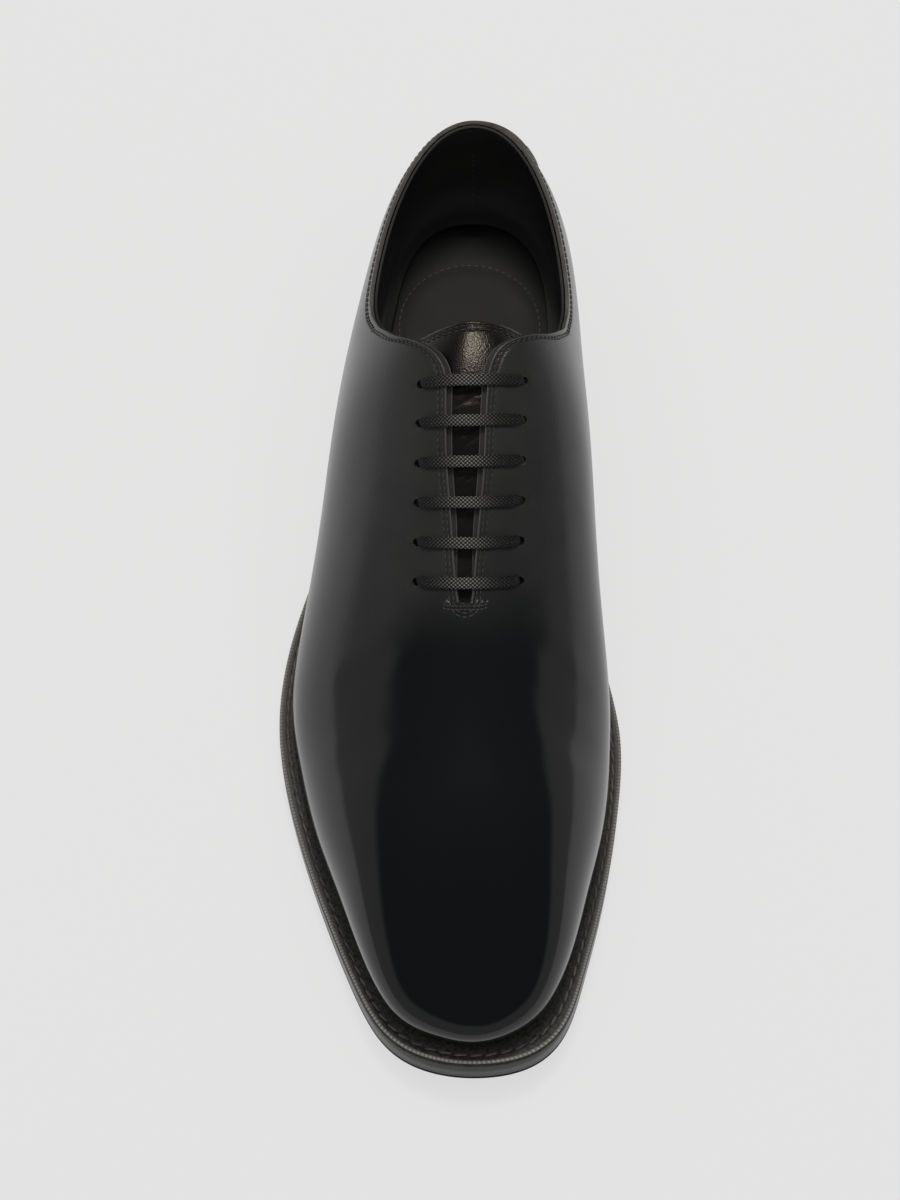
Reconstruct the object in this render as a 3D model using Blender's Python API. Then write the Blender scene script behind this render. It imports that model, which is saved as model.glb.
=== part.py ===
"""Plain whole-cut oxford shoe for the right foot, laced with six straight bars.

The upper is drawn on a last.  Section lines rise from the feather line, where upper and welt meet, to a
ridge over the instep, and the topline and the facings cut them off.  Until a point is placed it is
(x, station, height) in millimetres: x runs to the medial side, station from the heel back to the toe.
"""
import math

import bmesh
import bpy
import numpy as np
from mathutils import Matrix, Vector

# Driving sizes of the last and the bottom, in millimetres
LENGTH = 302.0           # heel back to toe tip
BALL_WIDTH = 97.0        # feather line across the ball
INSTEP_HEIGHT = 105.0    # ridge above the floor at the top of the facings
HEEL_HEIGHT = 25.0       # outsole above the floor at the heel back
TOE_SPRING = 10.4        # outsole above the floor at the toe tip
SPRING_POWER = 1.8       # how late the toe lifts
TREAD_BACK = 184.0       # the outsole lies flat on the floor between these stations
TREAD_FRONT = 228.0
ARCH_RUN = 164.0         # length over which the outsole climbs from the tread to the heel

# Thicknesses and clearances, in millimetres
GAP = 0.3                # between pieces that meet
OUTSOLE_THICK = 5.0
WELT_THICK = 3.0
WELT_INSIDE = 5.0        # welt hidden under the upper
UPPER_WALL = 2.0
INSOLE_THICK = 3.0
INSOLE_CLEAR = 0.6       # insole edge to the lining
TOP_PIECE_THICK = 6.0
TONGUE_THICK = 1.6
TONGUE_CLEAR = 0.7       # tongue to the facings above it

# Section lines, from the heel back along the lateral side to the toe and back along the medial side.
# x is in hundredths of BALL_WIDTH; station and ridge, the line's upper end, are in hundredths of LENGTH.
# welt is the sole edge beyond the feather line and flare the outward pull on the wall, in millimetres.
# rise is the share of the height that the pull acts over, crown the share of the half width that the
# round top keeps, shoulder how tightly the wall turns into the top, and strips the number of mesh
# strips up to the next row.
SECTIONS = (
    # name                 x  station welt flare rise ridge crown shoulder strips
    ("heel back",          7.9,  2.3, 4.5, 19.0, 0.30, 11.9, 0.92, 1.00, 3),
    ("heel corner, lat", -12.2,  5.5, 4.5, 15.2, 0.21, 13.2, 0.77, 1.20, 4),
    ("heel side, lat",   -21.2, 13.6, 4.5, 15.9, 0.20, 17.9, 0.80, 1.20, 4),
    ("breast, lat",      -24.7, 23.2, 4.0, 26.4, 0.20, 25.8, 0.63, 1.10, 7),
    ("waist, lat",       -29.9, 32.5, 4.5, 25.3, 0.23, 34.1, 0.92, 0.86, 6),
    ("forewaist, lat",   -38.1, 41.7, 5.2, 18.3, 0.30, 43.4, 0.79, 0.82, 4),
    ("ball back, lat",   -46.4, 50.7, 6.0, 11.0, 0.39, 52.3, 0.63, 0.83, 4),
    ("ball, lat",        -50.0, 58.9, 6.1, 10.1, 0.47, 60.9, 0.46, 0.95, 3),
    ("tread, lat",       -47.8, 65.9, 6.4,  8.8, 0.49, 67.9, 0.42, 1.20, 3),
    ("foretread, lat",   -42.3, 73.5, 6.2,  7.6, 0.54, 74.8, 0.61, 1.40, 3),
    ("toe side, lat",    -34.3, 81.2, 6.4,  6.3, 0.55, 80.5, 0.82, 1.50, 3),
    ("toe turn, lat",    -26.8, 87.9, 6.2,  6.0, 0.57, 84.4, 0.92, 1.60, 3),
    ("toe corner, lat",  -16.8, 94.4, 6.4,  5.8, 0.56, 86.8, 0.95, 1.60, 3),
    ("toe front, lat",    -4.1, 97.1, 7.0,  5.8, 0.55, 87.7, 0.96, 1.60, 3),
    ("toe tip",            8.2, 97.8, 6.6,  5.7, 0.55, 88.1, 0.97, 1.70, 3),
    ("toe front, med",    20.1, 96.7, 7.9,  5.2, 0.54, 87.7, 0.95, 1.60, 3),
    ("toe corner, med",   29.8, 93.7, 7.8,  5.1, 0.55, 86.8, 0.92, 1.60, 3),
    ("toe turn, med",     37.2, 87.8, 6.3,  5.8, 0.55, 84.4, 0.89, 1.50, 3),
    ("toe side, med",     42.6, 81.1, 6.1,  6.2, 0.54, 80.5, 0.79, 1.50, 3),
    ("foretread, med",    48.0, 73.5, 5.2,  7.2, 0.54, 74.8, 0.66, 1.30, 3),
    ("tread, med",        50.0, 66.2, 5.9, 10.2, 0.53, 67.9, 0.52, 1.00, 3),
    ("ball, med",         48.8, 59.6, 6.4, 12.9, 0.60, 60.9, 0.61, 1.03, 4),
    ("ball back, med",    43.6, 51.0, 5.3, 15.4, 0.59, 52.3, 0.80, 1.34, 4),
    ("forewaist, med",    38.1, 42.4, 3.4, 18.6, 0.52, 43.4, 0.99, 1.65, 6),
    ("waist, med",        35.5, 33.1, 3.2, 19.1, 0.41, 34.1, 1.03, 1.85, 7),
    ("breast, med",       36.3, 23.5, 3.8, 17.2, 0.26, 25.8, 0.79, 1.69, 4),
    ("heel side, med",    36.9, 13.6, 4.5, 12.7, 0.24, 17.9, 0.69, 1.44, 4),
    ("heel corner, med",  28.0,  5.5, 4.5, 15.5, 0.23, 13.2, 0.75, 1.18, 3),
)

# Ridge over the instep: station in hundredths of LENGTH, x of BALL_WIDTH and height of INSTEP_HEIGHT
RIDGE = (
    # station x  height
    (6.6,  7.9, 111.4),
    (18.2, 7.5, 111.4),
    (28.1, 6.8, 108.1),
    (36.4, 6.0, 100.0),
    (42.4, 5.4, 91.4),
    (48.0, 5.1, 83.1),
    (53.0, 4.8, 76.0),
    (58.6, 4.8, 68.8),
    (63.9, 4.8, 63.1),
    (70.2, 5.2, 57.9),
    (77.8, 6.2, 52.6),
    (84.4, 7.4, 45.9),
    (88.7, 8.2, 40.6),
    (96.0, 8.2, 31.6),
)

# Topline from the heel to the ankle: station in hundredths of LENGTH, height of INSTEP_HEIGHT
TOPLINE = (
    # station height
    (0.0,  88.6),
    (3.0,  88.4),
    (6.6,  85.7),
    (11.6, 80.2),
    (16.6, 75.8),
    (20.5, 74.3),
    (23.0, 75.9),
    (25.1, 79.4),
    (27.2, 84.6),
)

# Collar front and facing edges: station in hundredths of LENGTH, distance from the ridge in millimetres
FACINGS = (
    # station lateral medial
    (26.5, 29.6, 29.9),
    (28.5, 25.9, 26.8),
    (29.8, 22.8, 23.6),
    (30.8, 19.1, 19.0),
    (31.8, 15.5, 14.0),
    (32.9, 11.8, 9.6),
    (34.1, 9.1, 7.2),
    (35.4, 7.4, 6.0),
    (36.8, 6.9, 5.7),
    (38.7, 6.7, 5.5),
    (43.0, 6.2, 5.3),
    (49.7, 4.2, 3.8),
    (54.6, 2.8, 2.6),
    (57.6, 1.6, 1.6),
)
THROAT = 171.0           # station where the facings run together
COLLAR_FROM = 74.0       # between these stations the topline turns into the collar front
COLLAR_TO = 84.0
UPPER_ROWS = 12          # mesh rows from the feather line to the upper's edge

# Heel
BREAST = 70.0            # station of the heel's front face
BREAST_CURVE = 3.0       # how far the front face is hollowed
HEEL_TAPER = 0.94        # size of the heel on the floor against the heel seat
HEEL_MIDDLE = (7.7, 38.0)
HEEL_STRIPS = 12
HEEL_ACROSS = 4

# Tongue
TONGUE_BOTTOM = 181.0    # station of the end under the vamp
TONGUE_TOP = 90.6        # station of the free end at its middle
TONGUE_ARCH = -1.2       # station of the free end's corners, from its middle
TONGUE_HALF_BOTTOM = 13.0
TONGUE_HALF_TOP = 19.0
TONGUE_GRID = (10, 16)   # strips across and along

# Eyelets and lace
EYELET_PAIRS = 6
EYELET_ROWS = (
    # distance from the ridge, station of the top eyelet, pitch
    (-15.1, 108.6, 10.97),       # lateral
    (17.1, 108.1, 11.06),        # medial
)
EYELET_RADIUS = 1.3
EYELET_SIDES = 10
LACE_WIDTH = 3.6
LACE_THICK = 1.3
LACE_OVERHANG = 1.0      # bar past the middle of its eyelets
LACE_GRID = (8, 8)       # sides around and lengths along

MM = 0.001
MERGE = 0.00002          # metres
LATERAL_ROWS = len(SECTIONS) // 2
FEATHER_LIFT = OUTSOLE_THICK + WELT_THICK + 2 * GAP


def smooth_curve(knots, values):
    """Curve through the rows of values, of continuous curvature and straight at both ends."""
    knots = np.asarray(knots, float)
    values = np.asarray(values, float).reshape(len(knots), -1)
    step = np.diff(knots)
    chord = np.diff(values, axis=0) / step[:, None]
    system = np.zeros((len(knots), len(knots)))
    right = np.zeros(values.shape)
    system[0, :2] = 2, 1
    system[-1, -2:] = 1, 2
    right[0] = 3 * chord[0]
    right[-1] = 3 * chord[-1]
    for i in range(1, len(knots) - 1):
        system[i, i - 1:i + 2] = step[i], 2 * (step[i - 1] + step[i]), step[i - 1]
        right[i] = 3 * (step[i] * chord[i - 1] + step[i - 1] * chord[i])
    slope = np.linalg.solve(system, right)

    def curve(at):
        at = np.clip(np.asarray(at, float), knots[0], knots[-1])
        i = np.clip(np.searchsorted(knots, at, side="right") - 1, 0, len(knots) - 2)
        t = ((at - knots[i]) / step[i])[..., None]
        run = step[i][..., None]
        ends = values[i] * (1 + 2 * t) * (1 - t) ** 2 + values[i + 1] * t * t * (3 - 2 * t)
        return ends + run * (slope[i] * t * (1 - t) ** 2 - slope[i + 1] * t * t * (1 - t))

    return curve


def section_curve():
    """Section columns as smooth functions of the row number, all the way round."""
    scale = np.array([BALL_WIDTH / 100, LENGTH / 100, 1, 1, 1, LENGTH / 100, 1, 1])
    table = np.array([row[1:-1] for row in SECTIONS], float) * scale
    wrap = 8
    around = np.vstack([table[-wrap:], table, table[:wrap + 1]])
    return smooth_curve(np.arange(-wrap, len(table) + wrap + 1), around)


SECTION = section_curve()
RIDGE_LINE = smooth_curve([row[0] * LENGTH / 100 for row in RIDGE],
                          [(row[1] * BALL_WIDTH / 100, row[2] * INSTEP_HEIGHT / 100) for row in RIDGE])
TOPLINE_HEIGHT = smooth_curve([row[0] * LENGTH / 100 for row in TOPLINE],
                              [row[1] * INSTEP_HEIGHT / 100 for row in TOPLINE])
FACING_OFFSET = smooth_curve([row[0] * LENGTH / 100 for row in FACINGS], [row[1:] for row in FACINGS])


def smooth_step(value):
    """Ease from 0 to 1."""
    value = np.clip(value, 0, 1)
    return value * value * (3 - 2 * value)


def sole_height(station):
    """Underside of the outsole: heel, arch, flat tread and toe spring."""
    arch = HEEL_HEIGHT * smooth_step((TREAD_BACK - station) / ARCH_RUN)
    lift = np.clip((station - TREAD_FRONT) / (LENGTH - TREAD_FRONT), 0, None)
    return arch + TOE_SPRING * lift ** SPRING_POWER


def sole_point(x, station, lift):
    """Point at a distance above the outsole's underside, square to it."""
    slope = (sole_height(station + 0.05) - sole_height(station - 0.05)) / 0.1
    upright = 1 / np.sqrt(1 + slope * slope)
    return np.stack([x, station - slope * upright * lift, sole_height(station) + upright * lift], -1)


def feather_normal(row):
    """Outward direction of the feather line, seen from above."""
    ahead = SECTION(row + 0.005)[..., :2] - SECTION(row - 0.005)[..., :2]
    across = np.stack([-ahead[..., 1], ahead[..., 0]], -1)
    return across / np.linalg.norm(across, axis=-1, keepdims=True)


def outline(row, spread):
    """Plan line beside the feather line; spread is a distance outward, or None for the sole edge."""
    columns = SECTION(row)
    width = columns[..., 2:3] if spread is None else spread
    return columns[..., :2] + feather_normal(row) * width


def last(row, share):
    """Point of the last's surface: a share of the way up the section line of a row number."""
    row, share = np.broadcast_arrays(np.asarray(row, float), np.asarray(share, float))
    x, station, _, flare, rise, ridge, crown, shoulder = np.moveaxis(SECTION(row), -1, 0)
    foot = sole_point(x, station, FEATHER_LIFT)
    ridge_x, ridge_z = np.moveaxis(RIDGE_LINE(ridge), -1, 0)
    slope = (RIDGE_LINE(ridge + 0.5) - RIDGE_LINE(ridge - 0.5))[..., 1]
    top = np.stack([ridge_x, ridge, ridge_z], -1)
    pull = np.concatenate([feather_normal(row) * flare[..., None],
                           (rise * (ridge_z - foot[..., 2]))[..., None]], -1)
    reach = (foot - top)[..., :2] * crown[..., None]
    round_top = top + np.concatenate([reach, (slope * reach[..., 1])[..., None]], -1)
    up = share[..., None]
    down = 1 - up
    near_pull = 3 * down ** 2 * up * shoulder[..., None]
    near_top = 3 * down * up ** 2 * shoulder[..., None]
    weighted = down ** 3 * foot + near_pull * (foot + pull) + near_top * round_top + up ** 3 * top
    return weighted / (down ** 3 + near_pull + near_top + up ** 3)


def edge_share(row):
    """Share of each section line that the upper keeps, up to the topline or the facing edge."""
    row = np.asarray(row, float)
    side = (row > LATERAL_ROWS).astype(int)
    low = np.full(row.shape, 0.3)
    high = np.ones(row.shape)
    for _ in range(30):
        middle = (low + high) / 2
        x, station, height = np.moveaxis(last(row, middle), -1, 0)
        below = TOPLINE_HEIGHT(station)[..., 0] - height
        offset = np.take_along_axis(FACING_OFFSET(station), side[..., None], -1)[..., 0]
        outside = np.abs(x - RIDGE_LINE(station)[..., 0]) - offset
        turn = smooth_step((station - COLLAR_FROM) / (COLLAR_TO - COLLAR_FROM))
        kept = (1 - turn) * below + turn * outside > 0
        low = np.where(kept, middle, low)
        high = np.where(kept, high, middle)
    return np.where(SECTION(row)[..., 5] > THROAT, 1.0, low)


def skin(row, share, lift):
    """Point at a distance above the last's surface, square to it."""
    along = last(row + 0.01, share) - last(row - 0.01, share)
    upward = last(row, share + 0.005) - last(row, share - 0.005)
    normal = np.cross(upward, along)
    return last(row, share) + lift * normal / np.linalg.norm(normal, axis=-1, keepdims=True)


def over_instep(offset, station, lift):
    """Point above the last near the ridge, at a distance across it and a station."""
    side = 1.0 if offset > 0 else -1.0
    target = np.array([RIDGE_LINE(station)[0] + offset, station])
    rows = np.linspace(0, LATERAL_ROWS, 200)
    row = np.interp(station, SECTION(rows)[:, 5], rows)
    place = np.array([row if side < 0 else len(SECTIONS) - row, 1 - abs(offset) / 60])
    for _ in range(8):
        here = last(*place)[:2]
        by_row = (last(place[0] + 0.01, place[1])[:2] - here) / 0.01
        by_share = (last(place[0], place[1] - 0.01)[:2] - here) / -0.01
        place = place + np.linalg.solve(np.stack([by_row, by_share], -1), target - here)
    return skin(place[0], place[1], lift)


def half_rows():
    """Row numbers of the mesh strips from the heel back to the toe tip."""
    rows = [np.linspace(i, i + 1, SECTIONS[i][-1], endpoint=False) for i in range(LATERAL_ROWS)]
    return np.append(np.concatenate(rows), LATERAL_ROWS)


LATERAL = half_rows()
MEDIAL = len(SECTIONS) - LATERAL
AROUND = np.append(LATERAL, MEDIAL[-2::-1])


def box_middle():
    """Middle of the shoe's length and width, which is put over the origin."""
    sole = outline(AROUND, None)
    heel = last(0, np.linspace(0, 1, UPPER_ROWS + 1))
    return (sole[:, 0].min() + sole[:, 0].max()) / 2, (heel[:, 1].min() + sole[:, 1].max()) / 2


MIDDLE_X, MIDDLE_STATION = box_middle()


def placed(point):
    """World place in metres: toe towards -Y, medial side towards +X."""
    return Vector(((point[0] - MIDDLE_X) * MM, (MIDDLE_STATION - point[1]) * MM, point[2] * MM))


def finish(name, bm, material):
    """Object of a finished bmesh."""
    bmesh.ops.remove_doubles(bm, verts=bm.verts[:], dist=MERGE)
    bmesh.ops.recalc_face_normals(bm, faces=bm.faces[:])
    mesh = bpy.data.meshes.new(name)
    bm.to_mesh(mesh)
    bm.free()
    mesh.shade_smooth()
    mesh.set_sharp_from_angle(angle=math.radians(40))
    mesh.materials.append(material)
    shape = bpy.data.objects.new(name, mesh)
    bpy.context.scene.collection.objects.link(shape)
    return shape


def material(name, colour, roughness):
    """Principled material of one piece."""
    finish_of = bpy.data.materials.new(name)
    finish_of.use_nodes = True
    shader = finish_of.node_tree.nodes["Principled BSDF"]
    shader.inputs["Base Color"].default_value = (*colour, 1)
    shader.inputs["Roughness"].default_value = roughness
    shader.inputs["Metallic"].default_value = 0
    return finish_of


def grid(across, along, point):
    """Sheet of across by along strips; point gives the place for shares 0 to 1 across and along."""
    bm = bmesh.new()
    bmesh.ops.create_grid(bm, x_segments=across, y_segments=along, size=0.5)
    for vert in bm.verts:
        i, j = round((vert.co.x + 0.5) * across), round((vert.co.y + 0.5) * along)
        vert.co = placed(point(i, j))
    return bm


def plate(name, left, right, across, under, over, finish_of):
    """Solid between two plan lines, with its underside and top side given by functions of the plan point."""
    bm = bmesh.new()
    plan = bm.verts.layers.float_vector.new("plan")
    along = len(left) - 1
    bmesh.ops.create_grid(bm, x_segments=across, y_segments=along, size=0.5)
    for vert in bm.verts:
        share, j = vert.co.x + 0.5, round((vert.co.y + 0.5) * along)
        spot = left[j] + (right[j] - left[j]) * share
        vert[plan] = (spot[0], spot[1], share)
        vert.co = placed(under(*vert[plan]))
    bmesh.ops.remove_doubles(bm, verts=bm.verts[:], dist=MERGE)
    top = bmesh.ops.extrude_face_region(bm, geom=bm.faces[:])["geom"]
    for vert in top:
        if isinstance(vert, bmesh.types.BMVert):
            vert.co = placed(over(*vert[plan]))
    return finish(name, bm, finish_of)


def make_outsole():
    """Leather outsole with its arch, flat tread and toe spring."""
    return plate("outsole", outline(LATERAL, None), outline(MEDIAL, None), 1,
                 lambda x, station, _: sole_point(x, station, 0.0),
                 lambda x, station, _: sole_point(x, station, OUTSOLE_THICK),
                 material("outsole", (0.035, 0.028, 0.024), 0.45))


def make_insole():
    """Footbed inside the upper, level with the feather line."""
    inset = -(UPPER_WALL + INSOLE_CLEAR)
    return plate("insole", outline(LATERAL, inset), outline(MEDIAL, inset), 1,
                 lambda x, station, _: sole_point(x, station, FEATHER_LIFT),
                 lambda x, station, _: sole_point(x, station, FEATHER_LIFT + INSOLE_THICK),
                 material("insole", (0.028, 0.027, 0.027), 0.55))


def make_welt():
    """Strip round the upper, from under its edge to the sole edge."""
    inner, outer = outline(AROUND, -WELT_INSIDE), outline(AROUND, None)
    return plate("welt", inner, outer, 1,
                 lambda x, station, _: sole_point(x, station, OUTSOLE_THICK + GAP),
                 lambda x, station, _: sole_point(x, station, OUTSOLE_THICK + GAP + WELT_THICK),
                 material("welt", (0.018, 0.016, 0.015), 0.4))


def heel_rows(medial):
    """Row numbers of the sole edge from the heel back to the breast, on one side."""
    rows = np.linspace(0, 5, 200)
    stations = outline(len(SECTIONS) - rows if medial else rows, None)[:, 1]
    share = np.linspace(0, np.interp(BREAST, stations, rows), HEEL_STRIPS + 1)
    return len(SECTIONS) - share if medial else share


def heel_point(x, station, share, height):
    """Point of the tapered heel, with the hollow of its breast."""
    hollow = BREAST_CURVE * (station / BREAST) ** 4 * (1 - (2 * share - 1) ** 2)
    size = 1 - (1 - HEEL_TAPER) * (HEEL_HEIGHT - height) / HEEL_HEIGHT
    return (HEEL_MIDDLE[0] + (x - HEEL_MIDDLE[0]) * size,
            HEEL_MIDDLE[1] + (station - hollow - HEEL_MIDDLE[1]) * size, height)


def seat_point(x, station, share):
    """Point of the heel's top, just under the outsole."""
    spot = heel_point(x, station, share, HEEL_HEIGHT)
    return spot[0], spot[1], float(sole_height(spot[1])) - GAP


def make_heel():
    """Stacked leather heel and the top piece that it stands on."""
    left, right = outline(heel_rows(False), None), outline(heel_rows(True), None)
    plate("heel_stack", left, right, HEEL_ACROSS,
          lambda x, station, share: heel_point(x, station, share, TOP_PIECE_THICK + GAP), seat_point,
          material("heel_stack", (0.03, 0.025, 0.022), 0.4))
    plate("heel_top_piece", left, right, HEEL_ACROSS,
          lambda x, station, share: heel_point(x, station, share, 0.0),
          lambda x, station, share: heel_point(x, station, share, TOP_PIECE_THICK),
          material("heel_top_piece", (0.02, 0.02, 0.02), 0.7))


def thicken(shape, wall):
    """Wall on the inner side of a sheet."""
    solidify = shape.modifiers.new("wall", "SOLIDIFY")
    solidify.thickness = wall * MM
    solidify.offset = -1
    solidify.use_even_offset = True
    solidify.use_quality_normals = True


def make_upper():
    """Lasted upper, open at the collar, the throat and underneath, with its punched eyelets."""
    shares = edge_share(AROUND)
    net = last(AROUND[:, None], shares[:, None] * np.linspace(0, 1, UPPER_ROWS + 1))
    bm = grid(UPPER_ROWS, len(AROUND) - 1, lambda i, j: net[j, i])
    upper = finish("upper", bm, material("upper", (0.012, 0.012, 0.013), 0.25))
    thicken(upper, UPPER_WALL)
    punch = upper.modifiers.new("eyelets", "BOOLEAN")
    punch.operation = "DIFFERENCE"
    punch.object = make_punch()
    return upper


def eyelet_pairs():
    """Lateral and medial eyelet of each pair from the top down, as (offset, station)."""
    return [[(offset, first + pitch * number) for offset, first, pitch in EYELET_ROWS]
            for number in range(EYELET_PAIRS)]


def make_punch():
    """Cutter for all the eyelets."""
    bm = bmesh.new()
    for pair in eyelet_pairs():
        for offset, station in pair:
            foot = placed(over_instep(offset, station, -2 * UPPER_WALL))
            head = placed(over_instep(offset, station, UPPER_WALL))
            turn = (head - foot).to_track_quat("Z", "Y").to_matrix().to_4x4()
            bmesh.ops.create_cone(bm, cap_ends=True, segments=EYELET_SIDES, radius1=EYELET_RADIUS * MM,
                                  radius2=EYELET_RADIUS * MM, depth=(head - foot).length,
                                  matrix=Matrix.Translation((head + foot) / 2) @ turn)
    punch = finish("eyelet_punch", bm, material("eyelet_punch", (0.5, 0.5, 0.5), 0.5))
    punch.hide_render = True
    punch.display_type = "WIRE"
    return punch


def make_tongue():
    """Tongue under the facings, free at its end."""
    across, along = TONGUE_GRID

    def point(i, j):
        side = 2 * i / across - 1
        half = TONGUE_HALF_BOTTOM + (TONGUE_HALF_TOP - TONGUE_HALF_BOTTOM) * j / along
        top = TONGUE_TOP + TONGUE_ARCH * side * side
        station = TONGUE_BOTTOM + (top - TONGUE_BOTTOM) * j / along
        return over_instep(side * half, station, -(UPPER_WALL + TONGUE_CLEAR))

    tongue = finish("tongue", grid(across, along, point), material("tongue", (0.014, 0.013, 0.013), 0.35))
    thicken(tongue, TONGUE_THICK)
    return tongue


def make_lace():
    """Straight bars of the flat lace, each lying over both facings."""
    around, along = LACE_GRID
    cotton = material("lace", (0.02, 0.02, 0.022), 0.5)
    for number, pair in enumerate(eyelet_pairs(), 1):
        (start, start_station), (end, end_station) = pair

        def point(i, j):
            turn = 2 * math.pi * i / around
            offset = start - LACE_OVERHANG + (end - start + 2 * LACE_OVERHANG) * j / along
            station = start_station + (end_station - start_station) * j / along
            lift = GAP + LACE_THICK / 2 * (1 + math.sin(turn))
            return over_instep(offset, station + LACE_WIDTH / 2 * math.cos(turn), lift)

        bm = grid(around, along, point)
        bmesh.ops.remove_doubles(bm, verts=bm.verts[:], dist=MERGE)
        bmesh.ops.holes_fill(bm, edges=[edge for edge in bm.edges if edge.is_boundary])
        finish(f"lace_bar_{number}", bm, cotton)


for old in list(bpy.data.objects):
    bpy.data.objects.remove(old, do_unlink=True)
make_outsole()
make_welt()
make_heel()
make_insole()
make_upper()
make_tongue()
make_lace()
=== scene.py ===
"""Looks of a plain black whole-cut oxford for the right foot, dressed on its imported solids.

Sizes are in millimetres.  A point is (x, station, height): x runs to the medial side, station from the
heel back to the toe, and world() turns it into the frame's metres.
"""
import math

import bmesh
import bpy
import numpy as np
from mathutils import Matrix, Vector
from mathutils.kdtree import KDTree

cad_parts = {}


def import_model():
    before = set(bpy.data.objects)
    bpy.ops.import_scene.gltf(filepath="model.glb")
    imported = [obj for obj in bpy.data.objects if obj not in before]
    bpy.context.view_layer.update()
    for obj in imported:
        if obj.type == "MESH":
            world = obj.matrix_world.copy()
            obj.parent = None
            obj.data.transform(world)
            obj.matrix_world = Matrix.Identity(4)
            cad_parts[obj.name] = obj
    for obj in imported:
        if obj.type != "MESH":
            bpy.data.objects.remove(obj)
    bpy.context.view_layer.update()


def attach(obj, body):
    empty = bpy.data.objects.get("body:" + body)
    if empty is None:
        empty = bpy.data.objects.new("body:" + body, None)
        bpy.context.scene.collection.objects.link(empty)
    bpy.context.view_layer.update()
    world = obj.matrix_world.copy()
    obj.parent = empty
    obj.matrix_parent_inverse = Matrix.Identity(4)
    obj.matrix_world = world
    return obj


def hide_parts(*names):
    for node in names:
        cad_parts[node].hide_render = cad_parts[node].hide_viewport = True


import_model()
scene = bpy.context.scene

# Studio
# A pale floor under a pale surround that ends in a dark ceiling, a broad soft light overhead, a small warm
# lamp behind the heel, and the camera above the toe, looking down at the throat.
CAMERA_TARGET = Vector((0.0, 0.0028, 0.030))
CAMERA_ELEVATION = math.radians(64)
CAMERA_DISTANCE = 1.3
CAMERA_LENS = 122.1
SURROUND = (0.36, 0.36, 0.36)
CEILING = (0.034, 0.043, 0.050)
CEILING_FROM = (0.67, 0.75)          # sines of the elevations where the surround fades into the ceiling
SIDE_DROP = 0.255                    # how much lower the surround ends on both sides
SIDE_SKEW = 0.045                    # by how much the left side stands higher than the right
FLOOR_RADIUS = 5.0
FLOOR_BELOW = 0.0001                 # the paper gives this much under the shoe


def feed(tree, made, values):
    """Gives a node's inputs their values, each a constant or the socket that feeds it."""
    for name, value in values.items():
        if isinstance(value, bpy.types.NodeSocket):
            tree.links.new(value, made.inputs[name])
        else:
            made.inputs[name].default_value = value


def node(tree, kind, values=None, **settings):
    """Shader node with its settings and its inputs."""
    made = tree.nodes.new(kind)
    for name, value in settings.items():
        setattr(made, name, value)
    feed(tree, made, values or {})
    return made


def new_look(name):
    """Material with a plain shader."""
    look = bpy.data.materials.new(name)
    look.use_nodes = True
    return look


def shade(look, values):
    """Gives a material's shader its values."""
    feed(look.node_tree, look.node_tree.nodes["Principled BSDF"], values)


def link_object(name, data):
    """Object in the scene for a mesh, light or camera."""
    made = bpy.data.objects.new(name, data)
    scene.collection.objects.link(made)
    return made


def aim(stand, place, target):
    """Puts a camera or a lamp at a place and turns it to its target."""
    stand.location = place
    stand.rotation_euler = (Vector(target) - Vector(place)).to_track_quat("-Z", "Y").to_euler()


def soft_lamp(name, place, size, power, colour):
    """Square soft light aimed at the shoe."""
    lamp = bpy.data.lights.new(name, "AREA")
    lamp.size = size
    lamp.energy = power
    lamp.color = colour
    stand = link_object(name, lamp)
    aim(stand, place, CAMERA_TARGET)
    return stand


surround = bpy.data.worlds.new("surround")
surround.use_nodes = True
sky = surround.node_tree
sky.nodes.clear()
toward = node(sky, "ShaderNodeSeparateXYZ", {0: node(sky, "ShaderNodeTexCoord").outputs["Generated"]})
aside = node(sky, "ShaderNodeMath", {0: toward.outputs["X"]}, operation="ABSOLUTE")
upward = node(sky, "ShaderNodeMath", {0: aside.outputs[0], 1: SIDE_DROP, 2: toward.outputs["Z"]},
              operation="MULTIPLY_ADD")
skewed = node(sky, "ShaderNodeMath", {0: toward.outputs["X"], 1: SIDE_SKEW, 2: upward.outputs[0]},
              operation="MULTIPLY_ADD")
fade = node(sky, "ShaderNodeValToRGB", {0: skewed.outputs[0]})
for stop, position, colour in zip(fade.color_ramp.elements, CEILING_FROM, (SURROUND, CEILING)):
    stop.position = position
    stop.color = (*colour, 1)
glow = node(sky, "ShaderNodeBackground", {"Color": fade.outputs["Color"]})
node(sky, "ShaderNodeOutputWorld", {"Surface": glow.outputs["Background"]})
scene.world = surround
scene.view_settings.view_transform = "Standard"

overhead = soft_lamp("overhead", place=(0.0, 0.0, 2.2), size=2.6, power=34, colour=(1.0, 1.0, 1.0))
overhead.visible_glossy = False
soft_lamp("heel_lamp", place=(0.03, 0.44, 1.6), size=0.3, power=9.5, colour=(1.0, 0.96, 0.90))

paper = new_look("paper")
shade(paper, {"Base Color": (0.12, 0.12, 0.12, 1), "Roughness": 0.9, "Specular IOR Level": 0.0,
              "Emission Color": (1, 1, 1, 1), "Emission Strength": 0.66})
bm = bmesh.new()
bmesh.ops.create_circle(bm, cap_ends=True, segments=96, radius=FLOOR_RADIUS,
                        matrix=Matrix.Translation((0, 0, -FLOOR_BELOW)))
floor_mesh = bpy.data.meshes.new("floor")
bm.to_mesh(floor_mesh)
bm.free()
floor_mesh.materials.append(paper)
link_object("floor", floor_mesh)

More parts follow.
